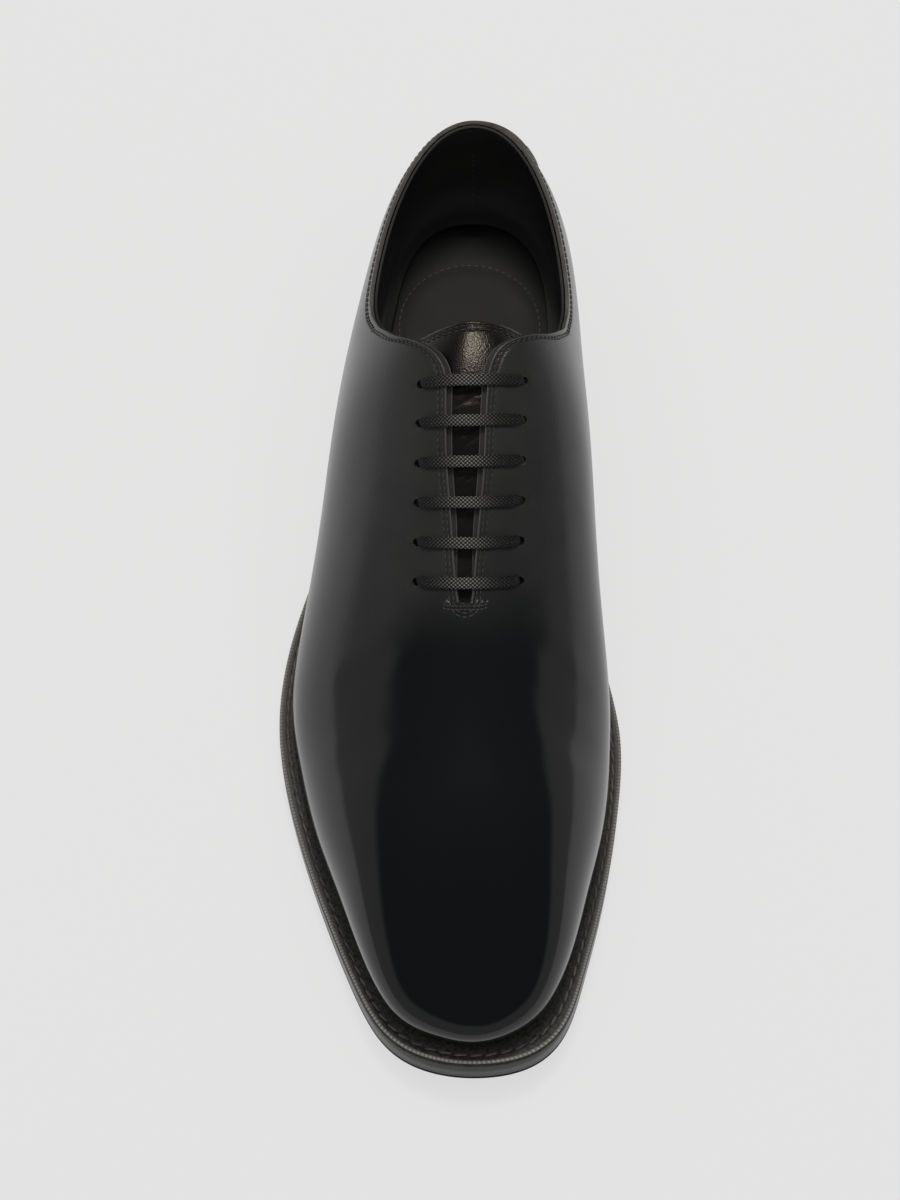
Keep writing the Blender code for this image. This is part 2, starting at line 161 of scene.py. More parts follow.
camera = bpy.data.cameras.new("camera")
camera.lens = CAMERA_LENS
scene.camera = link_object("camera", camera)
aim(scene.camera, CAMERA_TARGET + CAMERA_DISTANCE * Vector((0, -math.cos(CAMERA_ELEVATION),
                                                            math.sin(CAMERA_ELEVATION))), CAMERA_TARGET)

# Upper
# One cut of polished black calf, lasted over a chiselled last and closed at the back of the medial side.
# Its topline and facings are folded in and held by a twin row of stitches that turns round under the throat.
LENGTH = 302.0
BALL_WIDTH = 97.0
INSTEP_HEIGHT = 105.0
HEEL_HEIGHT = 25.0
TOE_SPRING = 10.4
SPRING_POWER = 1.8
TREAD_BACK = 184.0
TREAD_FRONT = 228.0
ARCH_RUN = 164.0
FEATHER_LIFT = 8.6                   # where upper and welt meet, above the outsole's underside
THROAT = 171.0
COLLAR_FROM = 74.0
COLLAR_TO = 84.0
MM = 0.001

# Section lines round the last: x in hundredths of BALL_WIDTH, station and ridge in hundredths of LENGTH,
# welt and flare in millimetres, rise and crown as shares, shoulder as a weight.
SECTIONS = (
    # name                 x  station welt flare rise ridge crown shoulder
    ("heel back",          7.9,  2.3, 4.5, 19.0, 0.30, 11.9, 0.92, 1.00),
    ("heel corner, lat", -12.2,  5.5, 4.5, 15.2, 0.21, 13.2, 0.77, 1.20),
    ("heel side, lat",   -21.2, 13.6, 4.5, 15.9, 0.20, 17.9, 0.80, 1.20),
    ("breast, lat",      -24.7, 23.2, 4.0, 26.4, 0.20, 25.8, 0.63, 1.10),
    ("waist, lat",       -29.9, 32.5, 4.5, 25.3, 0.23, 34.1, 0.92, 0.86),
    ("forewaist, lat",   -38.1, 41.7, 5.2, 18.3, 0.30, 43.4, 0.79, 0.82),
    ("ball back, lat",   -46.4, 50.7, 6.0, 11.0, 0.39, 52.3, 0.63, 0.83),
    ("ball, lat",        -50.0, 58.9, 6.1, 10.1, 0.47, 60.9, 0.46, 0.95),
    ("tread, lat",       -47.8, 65.9, 6.4,  8.8, 0.49, 67.9, 0.42, 1.20),
    ("foretread, lat",   -42.3, 73.5, 6.2,  7.6, 0.54, 74.8, 0.61, 1.40),
    ("toe side, lat",    -34.3, 81.2, 6.4,  6.3, 0.55, 80.5, 0.82, 1.50),
    ("toe turn, lat",    -26.8, 87.9, 6.2,  6.0, 0.57, 84.4, 0.92, 1.60),
    ("toe corner, lat",  -16.8, 94.4, 6.4,  5.8, 0.56, 86.8, 0.95, 1.60),
    ("toe front, lat",    -4.1, 97.1, 7.0,  5.8, 0.55, 87.7, 0.96, 1.60),
    ("toe tip",            8.2, 97.8, 6.6,  5.7, 0.55, 88.1, 0.97, 1.70),
    ("toe front, med",    20.1, 96.7, 7.9,  5.2, 0.54, 87.7, 0.95, 1.60),
    ("toe corner, med",   29.8, 93.7, 7.8,  5.1, 0.55, 86.8, 0.92, 1.60),
    ("toe turn, med",     37.2, 87.8, 6.3,  5.8, 0.55, 84.4, 0.89, 1.50),
    ("toe side, med",     42.6, 81.1, 6.1,  6.2, 0.54, 80.5, 0.79, 1.50),
    ("foretread, med",    48.0, 73.5, 5.2,  7.2, 0.54, 74.8, 0.66, 1.30),
    ("tread, med",        50.0, 66.2, 5.9, 10.2, 0.53, 67.9, 0.52, 1.00),
    ("ball, med",         48.8, 59.6, 6.4, 12.9, 0.60, 60.9, 0.61, 1.03),
    ("ball back, med",    43.6, 51.0, 5.3, 15.4, 0.59, 52.3, 0.80, 1.34),
    ("forewaist, med",    38.1, 42.4, 3.4, 18.6, 0.52, 43.4, 0.99, 1.65),
    ("waist, med",        35.5, 33.1, 3.2, 19.1, 0.41, 34.1, 1.03, 1.85),
    ("breast, med",       36.3, 23.5, 3.8, 17.2, 0.26, 25.8, 0.79, 1.69),
    ("heel side, med",    36.9, 13.6, 4.5, 12.7, 0.24, 17.9, 0.69, 1.44),
    ("heel corner, med",  28.0,  5.5, 4.5, 15.5, 0.23, 13.2, 0.75, 1.18),
)
TURNS = len(SECTIONS)
HALF = TURNS // 2

# Ridge over the instep: station in hundredths of LENGTH, x of BALL_WIDTH and height of INSTEP_HEIGHT
RIDGE = (
    # station x  height
    (6.6,  7.9, 111.4),
    (18.2, 7.5, 111.4),
    (28.1, 6.8, 108.1),
    (36.4, 6.0, 100.0),
    (42.4, 5.4, 91.4),
    (48.0, 5.1, 83.1),
    (53.0, 4.8, 76.0),
    (58.6, 4.8, 68.8),
    (63.9, 4.8, 63.1),
    (70.2, 5.2, 57.9),
    (77.8, 6.2, 52.6),
    (84.4, 7.4, 45.9),
    (88.7, 8.2, 40.6),
    (96.0, 8.2, 31.6),
)

# Topline from the heel to the ankle: station in hundredths of LENGTH, height of INSTEP_HEIGHT
TOPLINE = (
    # station height
    (0.0,  88.6),
    (3.0,  88.4),
    (6.6,  85.7),
    (11.6, 80.2),
    (16.6, 75.8),
    (20.5, 74.3),
    (23.0, 75.9),
    (25.1, 79.4),
    (27.2, 84.6),
)

# Collar front and facing edges: station in hundredths of LENGTH, distance from the ridge in millimetres
FACINGS = (
    # station lateral medial
    (26.5, 29.6, 29.9),
    (28.5, 25.9, 26.8),
    (29.8, 22.8, 23.6),
    (30.8, 19.1, 19.0),
    (31.8, 15.5, 14.0),
    (32.9, 11.8, 9.6),
    (34.1, 9.1, 7.2),
    (35.4, 7.4, 6.0),
    (36.8, 6.9, 5.7),
    (38.7, 6.7, 5.5),
    (43.0, 6.2, 5.3),
    (49.7, 4.2, 3.8),
    (54.6, 2.8, 2.6),
    (57.6, 1.6, 1.6),
)


def smooth_curve(knots, values):
    """Curve through the rows of values, of continuous curvature and straight at both ends."""
    knots = np.asarray(knots, float)
    values = np.asarray(values, float).reshape(len(knots), -1)
    step = np.diff(knots)
    chord = np.diff(values, axis=0) / step[:, None]
    system = np.zeros((len(knots), len(knots)))
    right = np.zeros(values.shape)
    system[0, :2] = 2, 1
    system[-1, -2:] = 1, 2
    right[0] = 3 * chord[0]
    right[-1] = 3 * chord[-1]
    for i in range(1, len(knots) - 1):
        system[i, i - 1:i + 2] = step[i], 2 * (step[i - 1] + step[i]), step[i - 1]
        right[i] = 3 * (step[i] * chord[i - 1] + step[i - 1] * chord[i])
    slope = np.linalg.solve(system, right)

    def curve(at):
        at = np.clip(np.asarray(at, float), knots[0], knots[-1])
        i = np.clip(np.searchsorted(knots, at, side="right") - 1, 0, len(knots) - 2)
        t = ((at - knots[i]) / step[i])[..., None]
        run = step[i][..., None]
        ends = values[i] * (1 + 2 * t) * (1 - t) ** 2 + values[i + 1] * t * t * (3 - 2 * t)
        return ends + run * (slope[i] * t * (1 - t) ** 2 - slope[i + 1] * t * t * (1 - t))

    return curve


def section_curve():
    """Section columns as smooth functions of the row number, all the way round."""
    scale = np.array([BALL_WIDTH / 100, LENGTH / 100, 1, 1, 1, LENGTH / 100, 1, 1])
    table = np.array([row[1:] for row in SECTIONS], float) * scale
    wrap = 8
    around = np.vstack([table[-wrap:], table, table[:wrap + 1]])
    return smooth_curve(np.arange(-wrap, TURNS + wrap + 1), around)


SECTION = section_curve()
RIDGE_LINE = smooth_curve([row[0] * LENGTH / 100 for row in RIDGE],
                          [(row[1] * BALL_WIDTH / 100, row[2] * INSTEP_HEIGHT / 100) for row in RIDGE])
TOPLINE_HEIGHT = smooth_curve([row[0] * LENGTH / 100 for row in TOPLINE],
                              [row[1] * INSTEP_HEIGHT / 100 for row in TOPLINE])
FACING_OFFSET = smooth_curve([row[0] * LENGTH / 100 for row in FACINGS], [row[1:] for row in FACINGS])


def smooth_step(value):
    """Ease from 0 to 1."""
    value = np.clip(value, 0, 1)
    return value * value * (3 - 2 * value)


def hump(value):
    """Soft bump of height 1 around 0."""
    return np.exp(-np.square(value))


def sole_height(station):
    """Underside of the outsole: heel, arch, flat tread and toe spring."""
    arch = HEEL_HEIGHT * smooth_step((TREAD_BACK - station) / ARCH_RUN)
    lift = np.clip((station - TREAD_FRONT) / (LENGTH - TREAD_FRONT), 0, None)
    return arch + TOE_SPRING * lift ** SPRING_POWER


def sole_point(x, station, lift):
    """Point at a distance above the outsole's underside, square to it."""
    slope = (sole_height(station + 0.05) - sole_height(station - 0.05)) / 0.1
    upright = 1 / np.sqrt(1 + slope * slope)
    return np.stack([x, station - slope * upright * lift, sole_height(station) + upright * lift], -1)


def feather_normal(row):
    """Outward direction of the feather line, seen from above."""
    ahead = SECTION(row + 0.005)[..., :2] - SECTION(row - 0.005)[..., :2]
    across = np.stack([-ahead[..., 1], ahead[..., 0]], -1)
    return across / np.linalg.norm(across, axis=-1, keepdims=True)


def outline(row, spread):
    """Plan line at a distance outward from the feather line."""
    spread = np.broadcast_to(np.asarray(spread, float), np.shape(row))
    return SECTION(row)[..., :2] + feather_normal(row) * spread[..., None]


def last(row, share):
    """Point of the last's surface: a share of the way up the section line of a row number."""
    row, share = np.broadcast_arrays(np.asarray(row, float), np.asarray(share, float))
    x, station, _, flare, rise, ridge, crown, shoulder = np.moveaxis(SECTION(row), -1, 0)
    foot = sole_point(x, station, FEATHER_LIFT)
    ridge_x, ridge_z = np.moveaxis(RIDGE_LINE(ridge), -1, 0)
    slope = (RIDGE_LINE(ridge + 0.5) - RIDGE_LINE(ridge - 0.5))[..., 1]
    top = np.stack([ridge_x, ridge, ridge_z], -1)
    pull = np.concatenate([feather_normal(row) * flare[..., None],
                           (rise * (ridge_z - foot[..., 2]))[..., None]], -1)
    reach = (foot - top)[..., :2] * crown[..., None]
    round_top = top + np.concatenate([reach, (slope * reach[..., 1])[..., None]], -1)
    up = share[..., None]
    down = 1 - up
    near_pull = 3 * down ** 2 * up * shoulder[..., None]
    near_top = 3 * down * up ** 2 * shoulder[..., None]
    weighted = down ** 3 * foot + near_pull * (foot + pull) + near_top * round_top + up ** 3 * top
    return weighted / (down ** 3 + near_pull + near_top + up ** 3)


def edge_share(row):
    """Share of each section line that the upper keeps, up to the topline or the facing edge."""
    row = np.mod(np.asarray(row, float), TURNS)
    side = (row > HALF).astype(int)
    low = np.full(row.shape, 0.3)
    high = np.ones(row.shape)
    for _ in range(30):
        middle = (low + high) / 2
        x, station, height = np.moveaxis(last(row, middle), -1, 0)
        below = TOPLINE_HEIGHT(station)[..., 0] - height
        offset = np.take_along_axis(FACING_OFFSET(station), side[..., None], -1)[..., 0]
        outside = np.abs(x - RIDGE_LINE(station)[..., 0]) - offset
        turn = smooth_step((station - COLLAR_FROM) / (COLLAR_TO - COLLAR_FROM))
        kept = (1 - turn) * below + turn * outside > 0
        low = np.where(kept, middle, low)
        high = np.where(kept, high, middle)
    return np.where(SECTION(row)[..., 5] > THROAT, 1.0, low)


def skin(row, share, lift):
    """Point at a distance above the last's surface, square to it."""
    along = last(row + 0.01, share) - last(row - 0.01, share)
    upward = last(row, share + 0.005) - last(row, share - 0.005)
    normal = np.cross(upward, along)
    normal /= np.linalg.norm(normal, axis=-1, keepdims=True)
    return last(row, share) + np.asarray(lift)[..., None] * normal


RIDGE_ROWS = np.linspace(0, HALF, 1401)
RIDGE_STATIONS = SECTION(RIDGE_ROWS)[:, 5]


def over_instep(offset, station, lift):
    """Point above the last near the ridge, at a distance across it and a station."""
    offset, station = np.broadcast_arrays(np.asarray(offset, float), np.asarray(station, float))
    target = np.stack([RIDGE_LINE(station)[..., 0] + offset, station], -1)
    row = np.interp(station, RIDGE_STATIONS, RIDGE_ROWS)
    row = np.where(offset > 0, TURNS - row, row)
    share = 1 - np.abs(offset) / 60
    for _ in range(8):
        here = last(row, share)[..., :2]
        by_row = (last(row + 0.01, share)[..., :2] - here) / 0.01
        by_share = (last(row, share - 0.01)[..., :2] - here) / -0.01
        step = np.linalg.solve(np.stack([by_row, by_share], -1), (target - here)[..., None])[..., 0]
        row = row + step[..., 0]
        share = share + step[..., 1]
    return skin(row, share, lift)


def box_middle():
    """Middle of the shoe's length and width, which stands over the origin."""
    rows = np.linspace(0, TURNS, 1121)
    sole = outline(rows, SECTION(rows)[:, 2])
    heel = last(0, np.linspace(0, 1, 13))
    return (sole[:, 0].min() + sole[:, 0].max()) / 2, (heel[:, 1].min() + sole[:, 1].max()) / 2


MIDDLE_X, MIDDLE_STATION = box_middle()


def world(point):
    """Place in the frame, in metres: toe towards -Y, medial side towards +X."""
    return Vector(((point[0] - MIDDLE_X) * MM, (MIDDLE_STATION - point[1]) * MM, point[2] * MM))


def heading(direction):
    """Direction in the frame."""
    return Vector((direction[0], -direction[1], direction[2])).normalized()


def run_along(points):
    """Distance run along a line of points, at each of them."""
    return np.append(0, np.cumsum(np.linalg.norm(np.diff(points, axis=0), axis=-1)))


def even_rows(strips, share, extra=()):
    """Row numbers of section lines that stand evenly apart at a share of their height, all the way round."""
    fine = np.linspace(0, HALF, 1401)
    run = run_along(last(fine, share))
    half = np.interp(np.linspace(0, run[-1], strips + 1), run, fine)
    half = np.unique(np.append(half, extra))
    return np.append(half, TURNS - half[-2::-1])


def shares_below(rows, distance):
    """Shares of section lines at distances down from the upper's edge; distance takes the line's length."""
    steps = np.linspace(0, 1, 161)
    edges = edge_share(rows)
    shares = []
    for row, edge in zip(rows, edges):
        run = run_along(last(row, steps))
        top = np.interp(edge, steps, run)
        shares.append(np.interp(top - distance(row, top), run, steps))
    return np.array(shares)


def sheet(net, **values):
    """Sheet of quads through a net of points, with named values of its own at each point."""
    along, across = net.shape[0] - 1, net.shape[1] - 1
    bm = bmesh.new()
    marks = {name: bm.verts.layers.float.new(name) for name in values}
    bmesh.ops.create_grid(bm, x_segments=across, y_segments=along, size=0.5)
    for vert in bm.verts:
        i, j = round((vert.co.x + 0.5) * across), round((vert.co.y + 0.5) * along)
        for name, mark in marks.items():
            vert[mark] = values[name][j, i]
        vert.co = world(net[j, i])
    bmesh.ops.remove_doubles(bm, verts=bm.verts[:], dist=0.01 * MM)
    return bm


def piece(name, bm, look, slot, *nodes):
    """Object of a finished mesh that rides on the shoe and stands for its solids."""
    bmesh.ops.recalc_face_normals(bm, faces=bm.faces[:])
    mesh = bpy.data.meshes.new(name)
    bm.to_mesh(mesh)
    bm.free()
    mesh.shade_smooth()
    mesh.materials.append(look)
    made = link_object(name, mesh)
    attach(made, "root")
    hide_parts(*nodes)
    return made


def thicken(made, wall, rounding):
    """Wall on the inner side of a sheet, with its rims rounded."""
    solidify = made.modifiers.new("wall", "SOLIDIFY")
    solidify.thickness = wall * MM
    solidify.offset = -1
    round_rims(made, rounding)


def round_rims(made, rounding):
    """Rounds the sharp edges of a piece."""
    bevel = made.modifiers.new("rims", "BEVEL")
    bevel.limit_method = "ANGLE"
    bevel.angle_limit = math.radians(50)
    bevel.width = rounding * MM
    bevel.segments = 3


def line_tree(line):
    """Search tree over a line of close points."""
    tree = KDTree(len(line))
    for i, point in enumerate(line):
        tree.insert(point, i)
    tree.balance()
    return tree


def distance_to(points, line):
    """Distance of each point of an array from a line of close points."""
    tree = line_tree(line)
    return np.array([tree.find(point)[2] for point in points.reshape(-1, 3)]).reshape(points.shape[:-1])


def punch(bm, centre, axis, radius):
    """Round hole through a sheet."""
    def off_axis(point):
        arm = point - centre
        return arm - axis * arm.dot(axis)

    near = [face for face in bm.faces if (face.calc_center_median() - centre).length < 3.2 * radius]
    edges = {edge for face in near for edge in face.edges}
    made = bmesh.ops.subdivide_edges(bm, edges=list(edges), cuts=2, use_grid_fill=True)
    fine = {face for item in made["geom"] if isinstance(item, bmesh.types.BMVert) for face in item.link_faces}
    inner = [face for face in fine if off_axis(face.calc_center_median()).length < radius]
    bmesh.ops.delete(bm, geom=inner, context="FACES")
    for vert in {vert for face in fine if face.is_valid for vert in face.verts}:
        arm = off_axis(vert.co)
        if vert.is_boundary and arm.length < 2 * radius:
            vert.co += arm.normalized() * radius - arm


# Stitches have a pitch, a length and a thickness
TWIN_ROWS = ((1.3, 2.7), (2.6, 3.9)) # distances from the edge, along the facings and along the topline
EDGE_STITCH = (2.1, 1.75, 0.5)
TACK_STITCH = (1.25, 1.15, 0.5)
TACK_STATIONS = (171.8, 172.8)       # bar of close stitches across the foot of the throat
TACK_HALF = 7.0
TACK_TURN = 0.9
GROOVE_WIDTH = 0.45
GROOVE_DEPTH = 0.22
THROAT_ROW = float(np.interp(THROAT, RIDGE_STATIONS, RIDGE_ROWS))


def edge_line(facing, topline):
    """Line at a distance from the upper's edge, closed under the throat, and the outward directions on it."""
    rows = np.linspace(THROAT_ROW - 0.01, 0.01 - THROAT_ROW, 900)
    stations = last(rows, edge_share(rows))[:, 1]
    distance = topline + (facing - topline) * smooth_step((stations - COLLAR_TO) / 20)
    shares = shares_below(rows, lambda row, top: np.interp(-row, -rows, distance))
    on, out = skin(rows, shares, 0.0), skin(rows, shares, 1.0)
    radius = (on[-1, 0] - on[0, 0]) / 2
    turns = np.linspace(0, math.pi, 17)[1:-1]
    spots = radius * np.cos(turns), on[0, 1] + radius * np.sin(turns)
    on = np.vstack([on, over_instep(*spots, 0.0), on[:1]])
    out = np.vstack([out, over_instep(*spots, 1.0), out[:1]])
    return on, out - on


def spaced(line, out, pitch):
    """Places at a pitch along a line, with the directions ahead and outward there."""
    run = run_along(line)
    count = max(1, int(run[-1] / pitch))
    at = (np.arange(count) + 0.5) * run[-1] / count

    def pick(rows):
        return np.stack([np.interp(at, run, column) for column in rows.T], -1)

    return zip(pick(line), pick(np.gradient(line, axis=0)), pick(out))


def sew(bm, line, out, pitch, length, thick, slant=0.0):
    """Row of stitches, each a short thread that bites into the leather at both ends."""
    for place, ahead, up in spaced(line, out, pitch):
        up = heading(up)
        ahead = heading(ahead)
        across = up.cross(ahead).normalized()
        ahead = (ahead * math.cos(slant) + across * math.sin(slant)).normalized()
        across = up.cross(ahead).normalized()
        size = (across * thick / 2, up * thick / 2, ahead * length / 2)
        turn = Matrix([axis * MM for axis in size]).transposed().to_4x4()
        bmesh.ops.create_uvsphere(bm, u_segments=6, v_segments=6, radius=1.0,
                                  matrix=Matrix.Translation(world(place)) @ turn)


def shader_group(name, inputs, outputs):
    """Empty node group with number sockets."""
    group = bpy.data.node_groups.new(name, "ShaderNodeTree")
    for label in inputs:
        group.interface.new_socket(label, in_out="INPUT", socket_type="NodeSocketFloat")
    for label in outputs:
        group.interface.new_socket(label, in_out="OUTPUT", socket_type="NodeSocketFloat")
    return group, group.nodes.new("NodeGroupInput"), group.nodes.new("NodeGroupOutput")


def grain_group():
    """Leather grain: rounded pebbles of a size in millimetres, with wider mottling of the tone."""
    group, given, result = shader_group("grain", ("Size",), ("Height", "Mottle"))
    spot = node(group, "ShaderNodeTexCoord").outputs["Object"]
    scale = node(group, "ShaderNodeMath", {0: 1 / MM, 1: given.outputs["Size"]}, operation="DIVIDE")
    warp = node(group, "ShaderNodeTexNoise", {"Vector": spot, "Scale": 300.0, "Detail": 2.0})
    bent = node(group, "ShaderNodeMix", {"Factor": 0.0006, 4: spot, 5: warp.outputs["Color"]},
                data_type="VECTOR")
    pebbles = node(group, "ShaderNodeTexVoronoi", {"Vector": bent.outputs[1], "Scale": scale.outputs[0],
                                                   "Smoothness": 0.35}, feature="SMOOTH_F1")
    fine = node(group, "ShaderNodeTexNoise", {"Vector": spot, "Scale": scale.outputs[0], "Detail": 3.0})
    height = node(group, "ShaderNodeMath", {0: fine.outputs["Fac"], 1: 0.5, 2: pebbles.outputs["Distance"]},
                  operation="MULTIPLY_ADD")
    mottle = node(group, "ShaderNodeTexNoise", {"Vector": spot, "Scale": 45.0, "Detail": 5.0})
    group.links.new(height.outputs[0], result.inputs["Height"])
    group.links.new(mottle.outputs["Fac"], result.inputs["Mottle"])
    return group


GRAIN = grain_group()
TONE_SPAN = (0.35, 0.65)             # values of a noise between which the tone changes
ROUGH_SPAN = (0.3, 0.7)              # and the roughness
FILLED = 0.5                         # height of grain that polish has filled


def attribute(tree, name):
    """Value of a mesh attribute."""
    return node(tree, "ShaderNodeAttribute", attribute_name=name).outputs["Fac"]


def stretch(tree, value, span, to=(0.0, 1.0)):
    """Value stretched from one span to another."""
    return node(tree, "ShaderNodeMapRange", {"Value": value, "From Min": span[0], "From Max": span[1],
                                             "To Min": to[0], "To Max": to[1]}).outputs["Result"]


def mix(tree, factor, low, high):
    """Value between two values."""
    return node(tree, "ShaderNodeMix", {0: factor, 2: low, 3: high}).outputs[0]


def mix_colour(tree, factor, low, high):
    """Colour between two colours."""
    return node(tree, "ShaderNodeMix", {0: factor, 6: low, 7: high}, data_type="RGBA").outputs[2]


def dress(look, colour, rough, height, depth, plain):
    """Gives a material its colour, its roughness, a relief of a depth in millimetres and plain values."""
    bump = node(look.node_tree, "ShaderNodeBump", {"Height": height, "Distance": depth * MM})
    shade(look, {"Base Color": colour, "Roughness": rough, "Normal": bump.outputs["Normal"], **(plain or {})})


def leather(name, dark, light, roughness, grain_size, grain_depth, polished=None, edge_highlight_colour=None, plain=None):
    """Grained leather of two close tones.  Where a polish attribute is full, the grain is filled and the
    surface takes the polished roughness and colour: polish on the upper, painted shade on the
    lining.  Where a wear attribute is full, the colour of a painted highlight shows."""
    look = new_look(name)
    tree = look.node_tree
    grain = node(tree, "ShaderNodeGroup", {"Size": grain_size}, node_tree=GRAIN)
    height, mottle = grain.outputs["Height"], grain.outputs["Mottle"]
    colour = mix_colour(tree, stretch(tree, mottle, TONE_SPAN), (*dark, 1), (*light, 1))
    rough = stretch(tree, mottle, ROUGH_SPAN, roughness)
    if polished is not None:
        shine = attribute(tree, "polish")
        rough = mix(tree, shine, rough, polished[0])
        colour = mix_colour(tree, shine, colour, (*polished[1], 1))
        height = mix(tree, shine, height, FILLED)
    if edge_highlight_colour is not None:
        colour = mix_colour(tree, attribute(tree, "wear"), colour, (*edge_highlight_colour, 1))
    dress(look, colour, rough, height, grain_depth, plain)
    return look


# Polished calf; its last colour is a highlight painted along the folded edges
CALF = leather("polished_calf", (0.0134, 0.0131, 0.0127), (0.0166, 0.0162, 0.0157), (0.36, 0.46), 0.60, 0.060,
               polished=(0.10, (0.0052, 0.0056, 0.0059)), edge_highlight_colour=(0.080, 0.073, 0.064))

# The upper's own sizes
UPPER_STRIPS = 262
CALF_THICK = 1.2
EDGE_BAND = 6.0                      # band along the edge that has its own close rows
EDGE_ROWS = 22
WALL_ROWS = 48
OVERLAP_ROW = 0.87                   # the closing seam's section line, counted back from the heel
OVERLAP_STEP = 0.9
OVERLAP_IN = 0.055                   # the seam's stitches from its edge, in section lines
TUCKS = ((0.9, -0.12), (3.4, -0.16)) # rows turned in under the foot: distance inside the feather line, lift
EYELET_PAIRS = 6
EYELET_ROWS = (
    # distance from the ridge, station of the top eyelet, pitch
    (-15.1, 108.6, 10.97),           # lateral
    (17.1, 108.1, 11.06),            # medial
)
EYELET_RADIUS = 1.3

# Swells of the leather: height, distance from the edge or from the middle of a hole, half width
FOLD_SWELL = (0.12, 0.7, 0.6)
EYELET_SWELL = (0.16, 2.3, 0.7)
EYELET_DIP = (-0.3, 0.0, 1.7)

# Shine: full value, where it starts and how far it takes to rise
VAMP_SHINE = (0.90, 156.0, 31.0)
VAMP_LEAN = (7.0, 8.0)               # on the medial side it starts sooner and takes longer by these
TOE_SHINE = (0.10, 222.0, 35.0)
QUARTER_SHINE = (0.6, 16.0, 16.0)
SHINE_HALF = 15.0                    # distance from the ridge where the lean is full
# half width of the painted highlight along the folded edge
HIGHLIGHT_BAND = 0.32

# Soft creases of the upper, as lines between two places (distance from the ridge, station), with the depth
# of the trough and its half width
CREASES = (
    # from           to              depth  width
    ((-19.0, 178.0), (-34.0, 186.0), 0.16, 4.0),
    ((21.0, 177.0),  (33.0, 190.0),  0.20, 4.0),
    ((26.0, 196.0),  (36.0, 206.0),  0.16, 5.0),
    ((-24.0, 205.0), (-36.0, 212.0), 0.12, 5.0),
    ((-4.0, 183.0),  (13.0, 186.0),  0.06, 4.0),
    ((17.0, 150.0),  (30.0, 140.0),  0.12, 4.5),
    ((-17.0, 150.0), (-30.0, 141.0), 0.10, 4.5),
)


def trough_lift(creases, offset, station):
    """Height of soft troughs, each with a low ridge on both sides."""
    total = np.zeros(np.broadcast(offset, station).shape)
    for (offset_from, station_from), (offset_to, station_to), depth, width in creases:
        step = np.array([offset_to - offset_from, station_to - station_from])
        away = np.stack(np.broadcast_arrays(offset - offset_from, station - station_from), -1)
        share = np.clip(away @ step / (step @ step), 0, 1)
        apart = np.linalg.norm(away - share[..., None] * step, axis=-1) / width
        total += depth * (0.4 * hump((apart - 1.7) / 0.8) - hump(apart))
    return total


def swell(apart, height, distance, half):
    """Height of a rounded swell at a distance from a line or a hole."""
    return height * hump((apart - distance) / half)


def eyelets():
    """Lateral and medial eyelet of each pair from the top down, as (offset, station)."""
    return [[(offset, first + pitch * number) for offset, first, pitch in EYELET_ROWS]
            for number in range(EYELET_PAIRS)]


def punch_eyelets(bm, lift, radius):
    """Eyelet holes through a sheet at a lift from the last."""
    for offset, station in sum(eyelets(), []):
        foot, head = over_instep(offset, station, lift), over_instep(offset, station, lift + 1.0)
        punch(bm, world(foot), heading(head - foot), radius * MM)


def upper_rows(row, top):
    """Distances of the mesh rows below the edge of a section line."""
    wall = EDGE_BAND + (top - EDGE_BAND) * np.linspace(0, 1, WALL_ROWS + 1)[1:]
    return np.append(np.linspace(0, EDGE_BAND, EDGE_ROWS), wall)


def overlap_lift(rows):
    """Height of the closing seam's upper layer, which thins out towards the heel back."""
    behind = np.clip((rows - (TURNS - OVERLAP_ROW)) / OVERLAP_ROW, 0, 1)
    return OVERLAP_STEP * smooth_step((1 - behind) * 1.2) * (rows > TURNS - OVERLAP_ROW)


def tuck(rows, inside, lift):
    """Row of the upper's lower edge, turned in under the foot."""
    plan = outline(rows, -inside)
    return sole_point(plan[:, 0], plan[:, 1], FEATHER_LIFT + lift)


seam_columns = (OVERLAP_ROW - 0.004, OVERLAP_ROW + 0.004, THROAT_ROW - 0.002, THROAT_ROW + 0.002)
upper_turns = even_rows(UPPER_STRIPS, 0.45, seam_columns)
upper_shares = shares_below(upper_turns, upper_rows)
upper_base = last(upper_turns[:, None], upper_shares)
upper_stations = upper_base[..., 1]
twin_lines = [edge_line(*row) for row in TWIN_ROWS]
overlap_rows = np.full(120, TURNS - OVERLAP_ROW + OVERLAP_IN)
overlap_shares = np.linspace(0.04, float(edge_share(TURNS - OVERLAP_ROW)) - 0.02, 120)
overlap_line = skin(overlap_rows, overlap_shares, OVERLAP_STEP * 0.95)
overlap_out = skin(overlap_rows, overlap_shares, 2.0) - overlap_line

has_edge = (edge_share(upper_turns) < 1)[:, None]
edge_depth = np.array([upper_rows(0, 60.0)] * len(upper_turns))
upper_offsets = upper_base[..., 0] - RIDGE_LINE(upper_stations)[..., 0]
upper_lift = trough_lift(CREASES, upper_offsets, upper_stations)
upper_lift += swell(edge_depth, *FOLD_SWELL) * has_edge
upper_lift += overlap_lift(upper_turns)[:, None]
for stitch_line, _ in twin_lines:
    upper_lift -= GROOVE_DEPTH * hump(distance_to(upper_base, stitch_line) / GROOVE_WIDTH)
for offset, station in sum(eyelets(), []):
    apart = np.linalg.norm(upper_base - over_instep(offset, station, 0.0), axis=-1)
    upper_lift += swell(apart, *EYELET_SWELL) + swell(apart, *EYELET_DIP)
upper_net = skin(upper_turns[:, None], upper_shares, upper_lift)
upper_net = np.concatenate([upper_net, *(tuck(upper_turns, *row)[:, None] for row in TUCKS)], axis=1)

